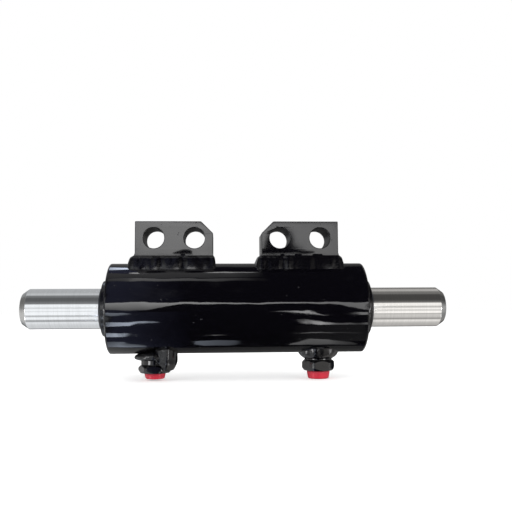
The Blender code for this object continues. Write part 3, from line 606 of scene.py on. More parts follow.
def under(side, turn=0.0):
    """Own Z down from the barrel's axis through one port."""
    place = Matrix.Translation((side * PORT_X, 0.0, AXIS_Z))
    return place @ Matrix.Rotation(math.pi, 4, "X") @ Matrix.Rotation(turn, 4, "Z")


def solid_bar(name, radius, low, high, matrix):
    """A plain round bar, as a tool."""
    outline = [(0.0, high), (radius, high), (radius, low), (0.0, low)]
    return turned(name, outline, FACETS[name], matrix, closed=False)


def hexagon_bar(name, corner_r, rounding, low, high, matrix):
    """A solid bar with six flats and rounded edges between them."""
    turns = [math.tau * i / 6 for i in range(6)]
    outline = eased([(corner_r * math.cos(a), corner_r * math.sin(a), rounding) for a in turns], True, 4)
    count = len(outline)
    points = [(x, y, z) for z in (low, high) for x, y in outline]
    faces = [tuple(reversed(range(count))), tuple(range(count, 2 * count))]
    faces += [(i, (i + 1) % count, count + (i + 1) % count, count + i) for i in range(count)]
    made = piece(name, mesh_of(name, points, [], faces))
    made.data.transform(matrix)
    return made


def saddle():
    """A tool that leaves room for the barrel."""
    return solid_bar("saddle", TUBE_R + SEAT, -2 * TUBE_HALF, 2 * TUBE_HALF, along(1))


def ride(thing, body, node):
    """Puts a piece on its body and hides the modelled node that it stands in for."""
    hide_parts(node)
    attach(thing, body)


# Pieces


def build_barrel(context):
    """The honed tube with its mouths, drilled under the ports."""
    sizes = context.scene.cylinder_barrel
    step = TUBE_HALF - sizes.thread_depth
    half = [
        (sizes.bore_radius, step), (sizes.thread_radius, step),
        (sizes.thread_radius, TUBE_HALF, sizes.edge), (TUBE_R, TUBE_HALF, sizes.edge * 1.4),
    ]
    outline = [half[-1], *mirrored(half), *half[:-1]]
    tube = turned("barrel_shell", outline, sizes.facets, along(1), paint("panel"), steps=4)
    low, high = TUBE_R - OIL_HOLE_DEPTH, TUBE_R * 1.5
    drills = [solid_bar("drill", OIL_HOLE_R, low, high, under(sign)) for sign in SIDES.values()]
    combine(tube, "DIFFERENCE", *drills)
    ride(tube, "barrel", "barrel_tube")


def build_rod(context):
    """The chromed through rod, with turned ends and threaded sockets."""
    sizes = context.scene.cylinder_rod
    marks = {"Roughness": 0.045, "Marks": 0.0000012, "Pitch": 0.0006, "Stain": 0.02}
    chrome = surface("hard chrome", metal_group, 1.0, Color=context.scene.cylinder_finish.chrome, **marks)
    bare = steel("turned rod end", 0.24, 0.0005, (0.50, 0.50, 0.49))
    cut = steel("cut thread", 0.35, 0.0008, (0.30, 0.30, 0.29))
    pitch = sizes.thread_pitch
    root = sizes.socket_radius
    crest = root - THREAD_HEIGHT
    floor = ROD_HALF - sizes.socket_depth
    lead = ROD_HALF - THREAD_LEAD
    taper = ROD_HALF - sizes.end_taper
    outline = [(0.0, floor - DRILL_POINT), (crest, floor)]
    turns = int((sizes.socket_depth - THREAD_RUNOUT) / pitch)
    start = lead - turns * pitch
    for i in range(turns):
        outline += [(crest, start + i * pitch), (root, start + i * pitch + pitch * 0.5)]
    outline += [(crest, lead), (root + THREAD_LEAD, ROD_HALF)]
    outline += [(ROD_R - sizes.end_drop, ROD_HALF, 0.0004), (ROD_R, taper, 0.0006)]
    outline += mirrored(outline)
    finishes = (chrome, bare, cut)
    rod = turned("chromed_rod", outline, sizes.facets, along(1), *finishes, closed=False, angle=24)
    rod.data.transform(Matrix.Translation((ROD_X, 0.0, 0.0)))
    for polygon in rod.data.polygons:
        middle = polygon.center
        if math.hypot(middle.y, middle.z - AXIS_Z) < root + THREAD_LEAD - 0.0001:
            polygon.material_index = finishes.index(cut)
        elif abs(middle.x - ROD_X) > taper + 0.0003:
            polygon.material_index = finishes.index(bare)
    ride(rod, "rod", "piston_rod")


def build_glands(context):
    """The screwed glands with their spanner holes, and the wipers in their noses."""
    sizes = context.scene.cylinder_barrel
    poly = moulded("wiper polyurethane", (0.010, 0.012, 0.020), 0.35, 0.000008, 0.3)
    nose_r, nose, inner, groove = sizes.nose_radius, GLAND_HIGH.x, GLAND_LOW.x, WIPER_LOW.x
    face = TUBE_HALF - sizes.head_recess
    pilot_r = sizes.bore_radius - SEAT
    groove_r = WIPER_R + 0.00025
    bore = ROD_R + SEAT
    head = [
        (nose_r, nose, 0.0007), (nose_r, face, 0.0008), (GLAND_R, face, 0.0007), (GLAND_R, face - 0.012),
        (pilot_r, face - 0.015), (pilot_r, inner, 0.0005), (bore, inner, 0.0003), (bore, groove - SEAT),
        (groove_r, groove - SEAT), (groove_r, nose, 0.0003),
    ]
    tip_r, tip = ROD_R + 0.0002, WIPER_HIGH.x
    ring = [
        (tip_r + 0.0007, tip, 0.0002), (tip_r + 0.0017, nose + 0.0001, 0.0006),
        (groove_r - SEAT, nose - 0.0002, 0.0003), (groove_r - SEAT, groove, 0.0003),
        (bore + SEAT, groove, 0.0003), (bore + SEAT, nose - 0.0024, 0.0006),
        (tip_r, tip - 0.0001, 0.0001),
    ]
    circle = (nose_r + GLAND_R) / 2
    for side, sign in SIDES.items():
        gland = turned(f"{side}_gland_head", head, FACETS["gland"], along(sign), paint("gland"))
        drills = []
        for i in range(SPANNER_HOLES):
            turn = math.tau * (i + 0.5) / SPANNER_HOLES
            place = Matrix.Translation((0.0, circle * math.cos(turn), circle * math.sin(turn))) @ along(sign)
            drills.append(solid_bar("drill", SPANNER_R, face - SPANNER_DEPTH, nose, place))
        combine(gland, "DIFFERENCE", *drills)
        ride(gland, "barrel", f"{side}_gland")
        wiper = turned(f"{side}_wiper_lip", ring, FACETS["wiper"], along(sign), poly)
        ride(wiper, "barrel", f"{side}_rod_wiper")


def drawn_plate(context, loops):
    """A flat plate as thick as a lug, filled between closed loops of points."""
    flat = bpy.data.curves.new("plate", "CURVE")
    flat.dimensions = "2D"
    flat.fill_mode = "BOTH"
    flat.extrude = LUG_THICKNESS / 2
    for loop in loops:
        line = flat.splines.new("POLY")
        line.points.add(len(loop) - 1)
        line.use_cyclic_u = True
        for point, (x, z) in zip(line.points, loop):
            point.co = (x, z, 0.0, 1.0)
    drawn = bpy.data.objects.new("plate", flat)
    context.scene.collection.objects.link(drawn)
    context.view_layer.update()
    mesh = bpy.data.meshes.new_from_object(drawn.evaluated_get(context.evaluated_depsgraph_get()))
    bpy.data.objects.remove(drawn, do_unlink=True)
    form = bmesh.new()
    form.from_mesh(mesh)
    bmesh.ops.remove_doubles(form, verts=form.verts, dist=1e-6)
    form.to_mesh(mesh)
    form.free()
    return mesh


def build_lugs(context):
    """The two bolted lugs, cut from thick plate."""
    sizes = context.scene.cylinder_lug
    half, low, high = LUG_LENGTH / 2, LUG_LOW.z, LUG_HIGH.z
    radius = sizes.hole_radius
    middles = (-sizes.hole_pitch / 2, sizes.hole_pitch / 2)
    cut = sizes.corner
    loops = [[(-half, low), (half, low), (half, high), (-half + cut, high), (-half, high - cut)]]
    count = FACETS["bolt_hole"]
    turns = [-math.tau * i / count for i in range(count)]
    for middle in middles:
        loops.append([(middle + radius * math.cos(a), radius * math.sin(a)) for a in turns])
    for side, sign in SIDES.items():
        lug = piece(f"{side}_lug_plate", drawn_plate(context, loops), paint("plate"), paint("hole"))
        edges = lug.modifiers.new("Edges", "BEVEL")
        edges.width = sizes.edge
        edges.segments = 3
        edges.limit_method = "ANGLE"
        edges.angle_limit = math.radians(40)
        settle(lug)
        stand = Matrix.Rotation(math.pi / 2, 4, "X")
        if sign < 0:
            stand = Matrix.Rotation(math.pi, 4, "Z") @ stand
        lug.data.transform(Matrix.Translation((sign * LUG_X, 0.0, 0.0)) @ stand)
        combine(lug, "DIFFERENCE", saddle())
        for polygon in lug.data.polygons:
            x, y, z = polygon.center
            away = min(math.hypot(x - sign * LUG_X - middle, z) for middle in middles)
            if away < radius + 0.0001 and abs(y) < LUG_THICKNESS / 2 - sizes.edge:
                polygon.material_index = 1
        flatten(lug)
        ride(lug, "barrel", f"{side}_mounting_lug")


def barrel_height(across):
    """Height over the barrel's axis at which weld metal meets it, at a distance across it."""
    radius = TUBE_R - SINK
    return math.sqrt(max(0.0, radius * radius - across * across))


def resampled(points, count):
    """Points spaced evenly along a broken line."""
    lengths = [0.0]
    for a, b in zip(points, points[1:]):
        lengths.append(lengths[-1] + math.dist(a, b))
    result = []
    for i in range(count + 1):
        goal = lengths[-1] * i / count
        k = 0
        while k < len(points) - 2 and lengths[k + 1] < goal:
            k += 1
        run = lengths[k + 1] - lengths[k]
        t = (goal - lengths[k]) / run if run else 0.0
        result.append(tuple(a + (b - a) * t for a, b in zip(points[k], points[k + 1])))
    return result


def divided(points, step):
    """A broken line with points added along it and its corners kept."""
    result = [points[0]]
    for a, b in zip(points, points[1:]):
        parts = max(1, round(math.dist(a, b) / step))
        result += [tuple(p + (q - p) * i / parts for p, q in zip(a, b)) for i in range(1, parts + 1)]
    return result


def softened(points):
    """A broken line with its corners cut off twice."""
    for _ in range(2):
        cut = [points[0]]
        for a, b in zip(points, points[1:]):
            cut += [tuple(t * p + (1 - t) * q for p, q in zip(a, b)) for t in (0.75, 0.25)]
        points = [*cut, points[-1]]
    return points


# Faces of weld beads, as shares of their spread and rise, how finely they are divided, and the
# seeds of their unevenness
PLAIN_FACE = [
    (0, 1), (0.06, 1), (0.062, 0.89), (0.54, 0.71), (0.67, 0.58), (0.82, 0.36), (0.93, 0.16), (1, 0),
]
PORT_FACES = {
    "left": [(0, 1), (0.45, 0.98), (0.85, 0.80), (1, 0.52), (0.84, 0.22), (0.40, 0)],
    "right": [(0, 1), (0.30, 0.84), (0.56, 0.64), (0.82, 0.32), (1, 0)],
}
PLAIN_FACE_STEP = 0.08
PORT_FACE_STEPS = 14
LUG_SEED = 11
PORT_SEED = 31

# Share of a bead's face, from its top, that stays even along the seam
LIP = 0.15

# Widths of a bead below and above which its ripples grow shallow, and how far its toe may wander
NARROW_BEAD = 0.004
WIDE_BEAD = 0.003
MOST_WANDER = 0.14

# How far a ripple bows along the bead, how round it is, the share of it that lies below even, and
# how much of a bulge goes upwards
RIPPLE_BOW = 3.6
RIPPLE_ROUND = 0.7
RIPPLE_LOW = 0.6
BULGE_LIFT = 0.6

# The walk round a lug's foot: length of its steps, steps round a corner and their length
FOOT_STEP = 0.0006
CORNER_STEPS = 8
CORNER_STEP = 0.0005

# Where the left port's lump starts and ends round the port, over what angle it fades, and the
# room that it leaves round the adapter
LUMP_START, LUMP_START_FADE = -52.0, 75.0
LUMP_END, LUMP_END_FADE = 86.0, 30.0
LUMP_ROOM = 0.0006


def bead(name, stations, rise, face_at, seed, settings, matrix):
    """A ring of rippled weld metal; each station is (place, facing angle, distance along)."""
    pick = random.Random(seed)
    total = stations[-1][2] + math.dist(stations[-1][0], stations[0][0])
    ripples = max(8, round(total / settings.pitch))
    jitter = [(pick.uniform(-1, 1), pick.uniform(0.75, 1.25), pick.uniform(-1, 1)) for _ in range(ripples)]
    form = bmesh.new()
    rows = []
    for (x, y), facing, distance in stations:
        out_x, out_y = math.cos(facing), math.sin(facing)
        face = face_at(facing)
        phase = distance / total * ripples
        index = int(phase) % ripples
        ease = 0.5 - 0.5 * math.cos(math.pi * (phase % 1.0))
        near, far = jitter[index], jitter[(index + 1) % ripples]
        bulge, wobble = (near[i] + (far[i] - near[i]) * ease for i in (0, 2))
        lump = settings.lump * bulge
        widest = max(out for out, share in face)
        depth = settings.depth * min(1.0, widest / NARROW_BEAD, WIDE_BEAD / widest)
        scale = 1.0 + min(settings.wander / widest, MOST_WANDER) * wobble
        toe = barrel_height(y + out_y * face[-1][0] * scale)
        wall = (x - out_x * SINK, y - out_y * SINK)
        row = [form.verts.new((*wall, barrel_height(wall[1])))]
        for k, (out, share) in enumerate(face):
            t = k / (len(face) - 1)
            sway = math.sin(math.pi * max(0.0, (t - LIP) / (1.0 - LIP)))
            swirl = (phase + RIPPLE_BOW * (t - 0.5) ** 2) % 1.0
            lift = depth * (abs(math.sin(math.pi * swirl)) ** RIPPLE_ROUND - RIPPLE_LOW) * near[1] * sway
            reach = out * (scale if t > LIP else 1.0) + lift + lump * sway
            height = toe + (rise - toe) * min(1.0, share) + max(0.0, share - 1.0) * (rise - TUBE_R)
            base = wall if k == 0 else (x, y)
            height += lift + BULGE_LIFT * lump * sway
            row.append(form.verts.new((base[0] + out_x * reach, base[1] + out_y * reach, height)))
        rows.append(row)
    for near, far in zip(rows, rows[1:] + rows[:1]):
        for i in range(len(near)):
            j = (i + 1) % len(near)
            form.faces.new((near[i], near[j], far[j], far[i]))
    bmesh.ops.remove_doubles(form, verts=form.verts, dist=1e-6)
    bmesh.ops.recalc_face_normals(form, faces=form.faces)
    made = piece(name, mesh_from(name, form), paint("weld"))
    settle(made, 36)
    made.data.transform(matrix)
    return made


def foot_path():
    """Stations round the foot of a lug: place, facing angle and distance along."""
    x, y = LUG_LENGTH / 2, LUG_THICKNESS / 2
    corners = [(-x, -y), (x, -y), (x, y), (-x, y)]
    stations = []
    run = 0.0
    for k, facing in enumerate((-math.pi / 2, 0.0, math.pi / 2, math.pi)):
        start, end = corners[k], corners[(k + 1) % 4]
        wall = math.dist(start, end)
        steps = round(wall / FOOT_STEP)
        for i in range(steps + 1):
            share = i / steps
            place = [a + (b - a) * share for a, b in zip(start, end)]
            stations.append((place, facing, run + wall * share))
        run += wall
        for i in range(1, CORNER_STEPS):
            stations.append((end, facing + math.pi / 2 * i / CORNER_STEPS, run + i * CORNER_STEP))
        run += CORNER_STEPS * CORNER_STEP
    return stations


def build_lug_welds(context):
    """The fillet welds round the feet of the lugs."""
    settings = context.scene.cylinder_weld
    plain = divided(PLAIN_FACE, PLAIN_FACE_STEP)
    rise = TUBE_R + settings.lug_rise
    for side, sign in SIDES.items():
        ends = [getattr(settings, f"{side}_{end}") for end in ("inner", "outer")]

        def face_at(facing, sign=sign, ends=ends):
            end = ends[math.cos(facing) * sign > 0]
            spread = math.hypot(end * math.cos(facing), settings.side_spread * math.sin(facing))
            return [(share * spread, up) for share, up in plain]

        place = Matrix.Translation((sign * LUG_X, 0.0, AXIS_Z))
        weld = bead(f"{side}_lug_bead", foot_path(), rise, face_at, LUG_SEED + sign, settings, place)
        ride(weld, "barrel", f"{side}_lug_weld")


def lump_face(sizes, rise, reach):
    """Face of the left port's bead at its thickest, where it stands up clear of the adapter."""
    height = rise - TUBE_R
    room = sizes.flats / 2 / math.cos(math.pi / 6) + LUMP_ROOM - sizes.boss_radius
    return [
        (0.0, 1.0), (room, 1.0), (room + 0.0006, (reach - TUBE_R + sizes.lump_lip) / height),
        (sizes.lump_brow * 0.54, sizes.lump_brow / height),
        (sizes.lump_spread, sizes.lump_shoulder / height), (sizes.lump_spread, 0.0),
    ]


def lump_share(facing):
    """How much of the lump the left port's bead has, at an angle round the port."""
    turn = (math.degrees(facing) + 180.0) % 360.0 - 180.0
    return max(0.0, min(1.0, (turn - LUMP_START) / LUMP_START_FADE, (LUMP_END - turn) / LUMP_END_FADE))


def build_ports(context):
    """The port bosses and the welds round them, one with a heavy lump."""
    sizes = context.scene.cylinder_port
    radius = sizes.boss_radius
    foot = TUBE_R - BOSS_FOOT
    for side, sign in SIDES.items():
        reach = AXIS_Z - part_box(f"{side}_port_boss")[0].z
        seat = reach - BOSS_SEAT_DEPTH
        outline = [
            (radius, reach, 0.0006), (radius, foot), (BOSS_BORE_R, foot), (BOSS_BORE_R, seat),
            (BOSS_SEAT_R, seat), (BOSS_SEAT_R, reach, 0.0003),
        ]
        boss = turned(f"{side}_port_collar", outline, FACETS["boss"], under(sign), paint("fitting"))
        combine(boss, "DIFFERENCE", saddle())
        ride(boss, "barrel", f"{side}_port_boss")
        spread = getattr(sizes, f"spread_{side}")
        rise = TUBE_R + getattr(sizes, f"rise_{side}")
        plain = [(share * spread, up) for share, up in PORT_FACES[side]]
        heavy = lump_face(sizes, rise, reach) if side == "left" else plain

        def face_at(facing, plain=plain, heavy=heavy):
            weight = lump_share(facing)
            face = [(a + (c - a) * weight, b + (d - b) * weight) for (a, b), (c, d) in zip(plain, heavy)]
            return resampled(softened(face), PORT_FACE_STEPS)

        stations = []
        for i in range(FACETS["port_bead"]):
            turn = math.tau * i / FACETS["port_bead"]
            place = (radius * math.cos(turn), radius * math.sin(turn))
            stations.append((place, turn, (radius + spread / 2) * turn))
        settings = context.scene.cylinder_weld
        weld = bead(f"{side}_port_bead", stations, rise, face_at, PORT_SEED + sign, settings, under(sign))
        ride(weld, "barrel", f"{side}_port_weld")


def build_adapters(context):
    """The hexagon adapters and the red plugs pushed into them."""
    sizes = context.scene.cylinder_port
    red = moulded("red plastic", context.scene.cylinder_finish.red, 0.33, 0.000012, 0.12)
    flat_r = sizes.flats / 2
    corner_r = flat_r / math.cos(math.pi / 6)
    crown_flat, crown_corner = flat_r - 0.0006, corner_r - 0.0006
    socket = sizes.socket_radius
    for side, sign in SIDES.items():
        adapter_low, adapter_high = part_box(f"{side}_port_adapter")
        low = AXIS_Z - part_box(f"{side}_port_boss")[0].z + SEAT
        high = AXIS_Z - adapter_low.z
        inner = AXIS_Z - adapter_high.z
        middle = (low + high) / 2
        floor = high - SOCKET_DEPTH
        place = under(sign, HEX_TURN[side])
        crown = [
            (0.0, high), (crown_flat, high), (crown_corner, high - HEX_CROWN),
            (crown_corner, low + HEX_FOOT), (crown_flat, low), (0.0, low),
        ]
        shank = [
            (0.0, middle), (NECK_R, middle), (NECK_R, low - NECK_LENGTH), (SHANK_R, low - NECK_LENGTH),
            (SHANK_R, inner), (0.0, inner),
        ]
        bore = [
            (0.0, high + 0.001), (socket + SOCKET_EDGE, high + 0.001), (socket + SOCKET_EDGE, high),
            (socket, high - SOCKET_EDGE), (socket, floor), (OIL_WAY_R, floor - 0.001),
            (OIL_WAY_R, inner - 0.001), (0.0, inner - 0.001),
        ]
        hexagon = hexagon_bar(f"{side}_adapter_hexagon", corner_r, sizes.hex_edge, low, high, place)
        tools = (("INTERSECT", "crown", crown), ("UNION", "shank", shank), ("DIFFERENCE", "bore", bore))
        for operation, tool, outline in tools:
            combine(hexagon, operation, turned(tool, outline, FACETS[tool], place, closed=False))
        hexagon.data.materials.clear()
        hexagon.data.materials.append(paint("fitting"))
        flatten(hexagon)
        ride(hexagon, "barrel", f"{side}_port_adapter")
        plug_low, plug_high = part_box(f"{side}_port_plug")
        head_r = (plug_high.x - plug_low.x) / 2
        shank_r = socket - SEAT
        hollow = shank_r - PLUG_WALL
        top = AXIS_Z - plug_low.z
        base = high + SEAT
        bottom = AXIS_Z - plug_high.z
        outline = [
            (0.0, top - PLUG_HOLLOW), (hollow, top - PLUG_HOLLOW, 0.0008), (hollow + 0.0003, top, 0.0008),
            (head_r - 0.0009, top, 0.0014), (head_r, base + 0.0012, 0.0006), (head_r, base, 0.0005),
            (shank_r, base, 0.0003), (shank_r, bottom + 0.0013, 0.0008),
            (shank_r - 0.0013, bottom, 0.0004), (0.0, bottom),
        ]
        name, count = f"{side}_transport_plug", FACETS["plug"]
        plug = turned(name, outline, count, under(sign), red, closed=False, steps=4)
        ride(plug, "barrel", f"{side}_port_plug")


def finish_inner(context):
    """Finishes for the seals, rings and piston that stay as they were modelled."""
    look = context.scene.cylinder_finish
    rubber = moulded("seal rubber", look.rubber, 0.5, 0.00001, 0.2)
    slipper = moulded("slipper resin", look.slipper, 0.4, 0.00001, 0.1)
    finishes = {
        "o_ring": rubber,
        "energizer": rubber,
        "rod_seal": rubber,
        "guide_ring": moulded("guide resin", look.resin, 0.55, 0.00003, 0.1),
        "backup_ring": slipper,
        "piston_seal_ring": slipper,
        "circlip": steel("spring steel", 0.4, 0.0009, (0.10, 0.10, 0.11)),
        "piston": steel("turned piston", 0.28, 0.0005, look.steel),
    }
    for name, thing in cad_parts.items():
        if thing.hide_render:
            continue
        found = next((finish for word, finish in finishes.items() if word in name), None)
        if found is None:
            raise RuntimeError(f"no finish for {name}")
        thing.data.materials.clear()
        thing.data.materials.append(found)


# Studio

# Each strip is a row of sections along X: place, lower and upper edge in degrees up from the
# camera's side, and brightness there, or at each of the two edges
STRIPS = {
    "front": [
        (-0.276, -3.2, 13.6, 1.5, 5), (-0.2, -3.3, 14.2, 1.6, 5.2), (-0.16, -3.3, 14.9, 1.6, 5.4),
        (-0.1, -3.4, 15, 1.7, 5.6), (0.1, -3.8, 14.4, 1.5, 4.4), (0.3, -4.4, 13.2, 2.6, 3.2),
        (0.336, -4.6, 12.9, 3.2, 3.6),
    ],
    "left_second": [
        (-0.276, -18.9, -11, 2.4, 3.4), (-0.24, -17.6, -10.6, 1.6, 3.6), (-0.205, -12.4, -11.6, 1, 2),
    ],
    "left_third": [
        (-0.276, -44.5, -34.5, 5.5), (-0.223, -42.8, -33.6, 8.5), (-0.19, -36, -30.6, 5, 6),
        (-0.176, -36, -31.5, 4), (-0.158, -36.4, -33.6, 1.2),
    ],
    "left_fourth": [
        (-0.276, -73.4, -60.5, 4.2), (-0.245, -73, -62.5, 8.5), (-0.226, -71.5, -64, 1.5),
        (-0.215, -71.5, -66, 0.3),
    ],
    "left_fifth": [
        (-0.276, -112, -86, 1, 1.2), (-0.235, -112, -90, 2.4, 2.2), (-0.22, -112, -98, 2.4, 1),
        (-0.18, -112, -104, 1, 0.5),
    ],
    "top_line": [
        (-0.215, 100.6, 104.6, 3.6), (-0.1, 100.2, 104.2, 4.6), (0, 100, 103.6, 3.4),
        (0.06, 99.8, 103, 2.4), (0.08, 100.6, 102.6, 0.2),
    ],
    "top_left": [(-0.276, 113, 126, 3), (-0.24, 114, 125.5, 6), (-0.18, 117, 125.2, 8.5)],
    "top_soft": [(-0.276, 82, 100, 0.5), (0.02, 82, 100, 0.4, 0.5), (0.09, 82, 100, 0.03, 0.05)],
    "top_soft_line": [
        (-0.276, 71, 80.5, 0.5, 0.8), (-0.224, 71, 80.5, 0.7, 0.9), (-0.21, 71, 80.5, 1.5, 2),
        (-0.08, 71, 80, 1, 1.3), (0.02, 70.5, 79, 0.5, 0.8), (0.09, 70, 78, 0.03, 0.06),
    ],
    "back": [(-0.276, 130, 178, 0.25, 0.3), (0.336, 130, 178, 0.1, 0.2)],
    "floor_far": [
        (-0.276, -178, -112, 0.16, 0.6), (-0.18, -178, -116, 0.12, 0.3), (-0.13, -178, -118, 0.1, 0.13),
        (0.336, -178, -116, 0.1, 0.15),
    ],
    "right_second": [
        (0.12, -9.6, -8.4, 0.6), (0.147, -10.4, -7.8, 4), (0.17, -12.9, -8.2, 7), (0.193, -17.6, -14.8, 6),
        (0.215, -19.4, -17.4, 4), (0.228, -20.6, -19.2, 2),
    ],
    "right_end": [(0.294, -17, -13.5, 1.2), (0.312, -20.5, -12.8, 3.8), (0.336, -21, -12.6, 3.8)],
    "right_third": [
        (0.16, -34, -28.5, 0.6), (0.176, -37, -28.6, 1.4), (0.192, -40.5, -32.4, 6),
        (0.215, -42.5, -35.8, 7), (0.262, -43.4, -38.8, 2.2), (0.3, -43.4, -40.2, 0.7),
        (0.322, -43.2, -37.4, 1.5, 1.6), (0.336, -43.2, -36.8, 2.2, 2.6),
    ],
    "right_fourth": [
        (0.16, -67.2, -63, 0.8), (0.19, -67.2, -63, 2), (0.225, -67.8, -64, 2), (0.262, -68, -65, 0.5),
        (0.308, -69, -66, 0.3),
    ],
    "right_fifth": [
        (0.139, -108.4, -104, 0.9), (0.15, -108.2, -99.7, 0.8, 1.4), (0.171, -108, -93.2, 0.8, 1.7),
        (0.183, -108, -89, 0.8, 1.7), (0.194, -108.2, -84.8, 0.7, 1.7), (0.24, -108.4, -86, 0.7, 1.8),
        (0.263, -109, -90, 0.6, 0.9), (0.282, -110, -94, 0.5, 0.7), (0.3, -111, -104, 0.2),
    ],
    "middle_low": [
        (-0.0745, -103, -90, 0.9, 1.9), (-0.058, -108.5, -89, 1.1, 1.8), (-0.024, -108.5, -87.8, 0.75, 1.4),
        (0.01, -109, -86.8, 0.6, 1), (0.0285, -106, -88.5, 0.3, 0.6), (0.034, -104, -92, 0.1),
    ],
    "middle_line": [
        (-0.044, -70, -68.8, 0.6), (-0.038, -71.2, -68.2, 2.2), (-0.02, -71.2, -68.4, 1.6),
        (0.001, -71.2, -69, 0.4),
    ],
    "side_left_level": [(-1.3, -17, -4, 14), (-0.78, -17, -4, 8)],
    "side_right_level": [(0.78, -17, -4, 8), (1.3, -17, -4, 14)],
    "side_left": [(-1.3, -78, -50, 9), (-0.9, -78, -50, 9)],
    "side_right": [(0.9, -78, -55, 5), (1.3, -78, -55, 5)],
    "haze_low": [(0.15, -92, -44, 0.02), (0.2, -92, -44, 0.12), (0.336, -92, -44, 0.15)],
    "haze": [
        (-0.276, -178, 178, 0.26), (-0.225, -178, 178, 0.2), (-0.15, -178, 178, 0.09),
        (-0.09, -178, 178, 0.015),
    ],
}

COOL_STRIPS = ("left_second", "left_third", "left_fourth", "left_fifth", "top_left", "middle_low")

# What the rods see round them: degrees up from the camera's side, and brightness there
LEFT_SURROUND = [
    (-150, 0.72), (-124, 0.74), (-100, 0.82), (-91, 0.92), (-81, 1.02), (-77, 0.5), (-66, 0.46), (-62, 1),
    (-58, 1.15), (-48, 1.15), (-45, 0.66), (-37, 0.6), (-34, 1.18), (-18, 1.18), (-16, 0.92), (-13, 0.92),
    (-11, 1.15), (-1, 1.15), (1, 0.88), (8, 0.86), (11, 1.12), (24, 1.15), (28, 0.28), (36, 0.22),
    (46, 0.14), (62, 0.13), (72, 0.22), (81, 0.26), (85, 0.66), (97, 0.62), (106, 0.52), (178, 0.5),
]
RIGHT_SURROUND = [
    (-150, 0.48), (-128, 0.5), (-104, 0.62), (-95, 0.76), (-88, 0.98), (-82, 0.9), (-77, 0.7), (-73, 0.36),
    (-69, 0.38), (-64, 0.58), (-57, 0.7), (-44, 0.74), (-40, 0.52), (-37, 0.6), (-34, 1.2), (-25, 1.2),
    (-22, 0.84), (-14, 0.82), (-11, 1.2), (-8, 1.18), (-5, 0.86), (-1, 0.78), (1, 0.58), (4, 0.6), (7, 1),
    (12, 1.12), (22, 1.15), (26, 0.24), (32, 0.17), (38, 0.09), (45, 0.07), (70, 0.07), (79, 0.09),
    (83, 0.18), (102, 0.22), (108, 0.46), (124, 0.52), (134, 0.26), (178, 0.16),
]

# What the rods' chamfers see to each side: height over the barrel's axis, and brightness there
LEFT_END = [(-1.1, 0.9), (-0.55, 1), (-0.06, 1), (0.02, 0.48), (0.3, 0.36), (0.45, 0.28), (1.1, 0.26)]
RIGHT_END = [
    (-1.1, 0.35), (-0.4, 0.42), (-0.32, 0.66), (-0.02, 0.74), (0.16, 0.4), (0.34, 0.12), (1.1, 0.08),
]

# Dark cards in front of the barrel and the lugs: place along Y, then an outline as X and
# height over the barrel's axis
DARK_CARDS = {
    "flag": (-0.2, [
        (-0.099, -0.026), (-0.0938, -0.0188), (-0.0887, -0.0112), (-0.0797, -0.0006), (-0.0689, 0.0192),
        (-0.059, 0.0308), (-0.048, 0.0372), (-0.0035, 0.0366), (0.0475, 0.034), (0.0988, 0.0294),
        (0.111, 0.0224), (0.119, 0.0069), (0.1272, -0.0022), (0.1377, -0.0179), (0.143, -0.026),
    ]),
    "shade_right": (-0.1, [
        (0.025, 0.0497), (0.066, 0.0497), (0.0655, 0.0545), (0.06, 0.057), (0.0545, 0.059), (0.053, 0.068),
        (0.048, 0.0725), (0.04, 0.0738), (0.032, 0.07), (0.028, 0.064), (0.026, 0.057),
    ]),
    "seam_right": (-0.03, [
        (0.0173, 0.044), (0.0386, 0.0443), (0.0485, 0.0448), (0.0559, 0.0437), (0.0626, 0.0446),
        (0.0646, 0.0454), (0.0626, 0.0463), (0.0543, 0.0466), (0.0486, 0.0483), (0.0354, 0.0483),
        (0.0173, 0.0483),
    ]),
    "seam_left": (-0.03, [
        (-0.0518, 0.0439), (-0.0365, 0.0439), (-0.0361, 0.0462), (-0.0393, 0.0477), (-0.0438, 0.0478),
        (-0.0478, 0.0464), (-0.0518, 0.045),
    ]),
}

# Distances of the cards from the barrel's axis, and how far they reach to each side
TENT_R = 1.0
HAZE_R = 1.05
SIDE_R = 0.99
CLOTH_R = 1.1
CLOTH_X = 1.4
SURROUND_X = 1.35


def blank_material(name):
    """A new material and its empty node tree."""
    made = bpy.data.materials.new(name)
    made.use_nodes = True
    made.node_tree.nodes.clear()
    return made, made.node_tree


def glowing(name, tint=(1.0, 1.0, 1.0), strength=None):
    """Gives light as bright as strength, or where that is missing as bright as each point says."""
    made, tree = blank_material(name)
    if strength is None:
        bright = tree.nodes.new("ShaderNodeAttribute")
        bright.attribute_name = "bright"
        strength = bright.outputs["Fac"]
    light = node_of(tree, "ShaderNodeEmission", Color=(*tint, 1.0), Strength=strength)
    node_of(tree, "ShaderNodeOutputMaterial", Surface=light.outputs[0])
    lay_out(tree)
    return made


def only_reflected(thing):
    """Shows a card in reflections alone."""
    thing.visible_camera = False
    thing.visible_diffuse = False
    thing.visible_transmission = False
    thing.visible_volume_scatter = False
    thing.visible_shadow = False


def card(name, rows, material):
    """A card through rows of points, each point with its own brightness."""
    form = bmesh.new()
    level = form.verts.layers.float.new("bright")
    made = []
    for row in rows:
        made.append([form.verts.new(place) for place, bright in row])
        for point, (place, bright) in zip(made[-1], row):
            point[level] = bright
    for near, far in zip(made, made[1:]):
        for i in range(len(near) - 1):
            form.faces.new((near[i], near[i + 1], far[i + 1], far[i]))
    only_reflected(piece(name, mesh_from(name, form), material))


def around(x, angle, radius):
    """A point at an angle up from the camera's side of the barrel's axis."""
    turn = math.radians(angle)
    return (x, -radius * math.cos(turn), AXIS_Z + radius * math.sin(turn))


def between(start, end, steps, last):
    """Numbers from start to end in even steps, with or without the last."""
    return [start + (end - start) * (i / steps) for i in range(steps + last)]


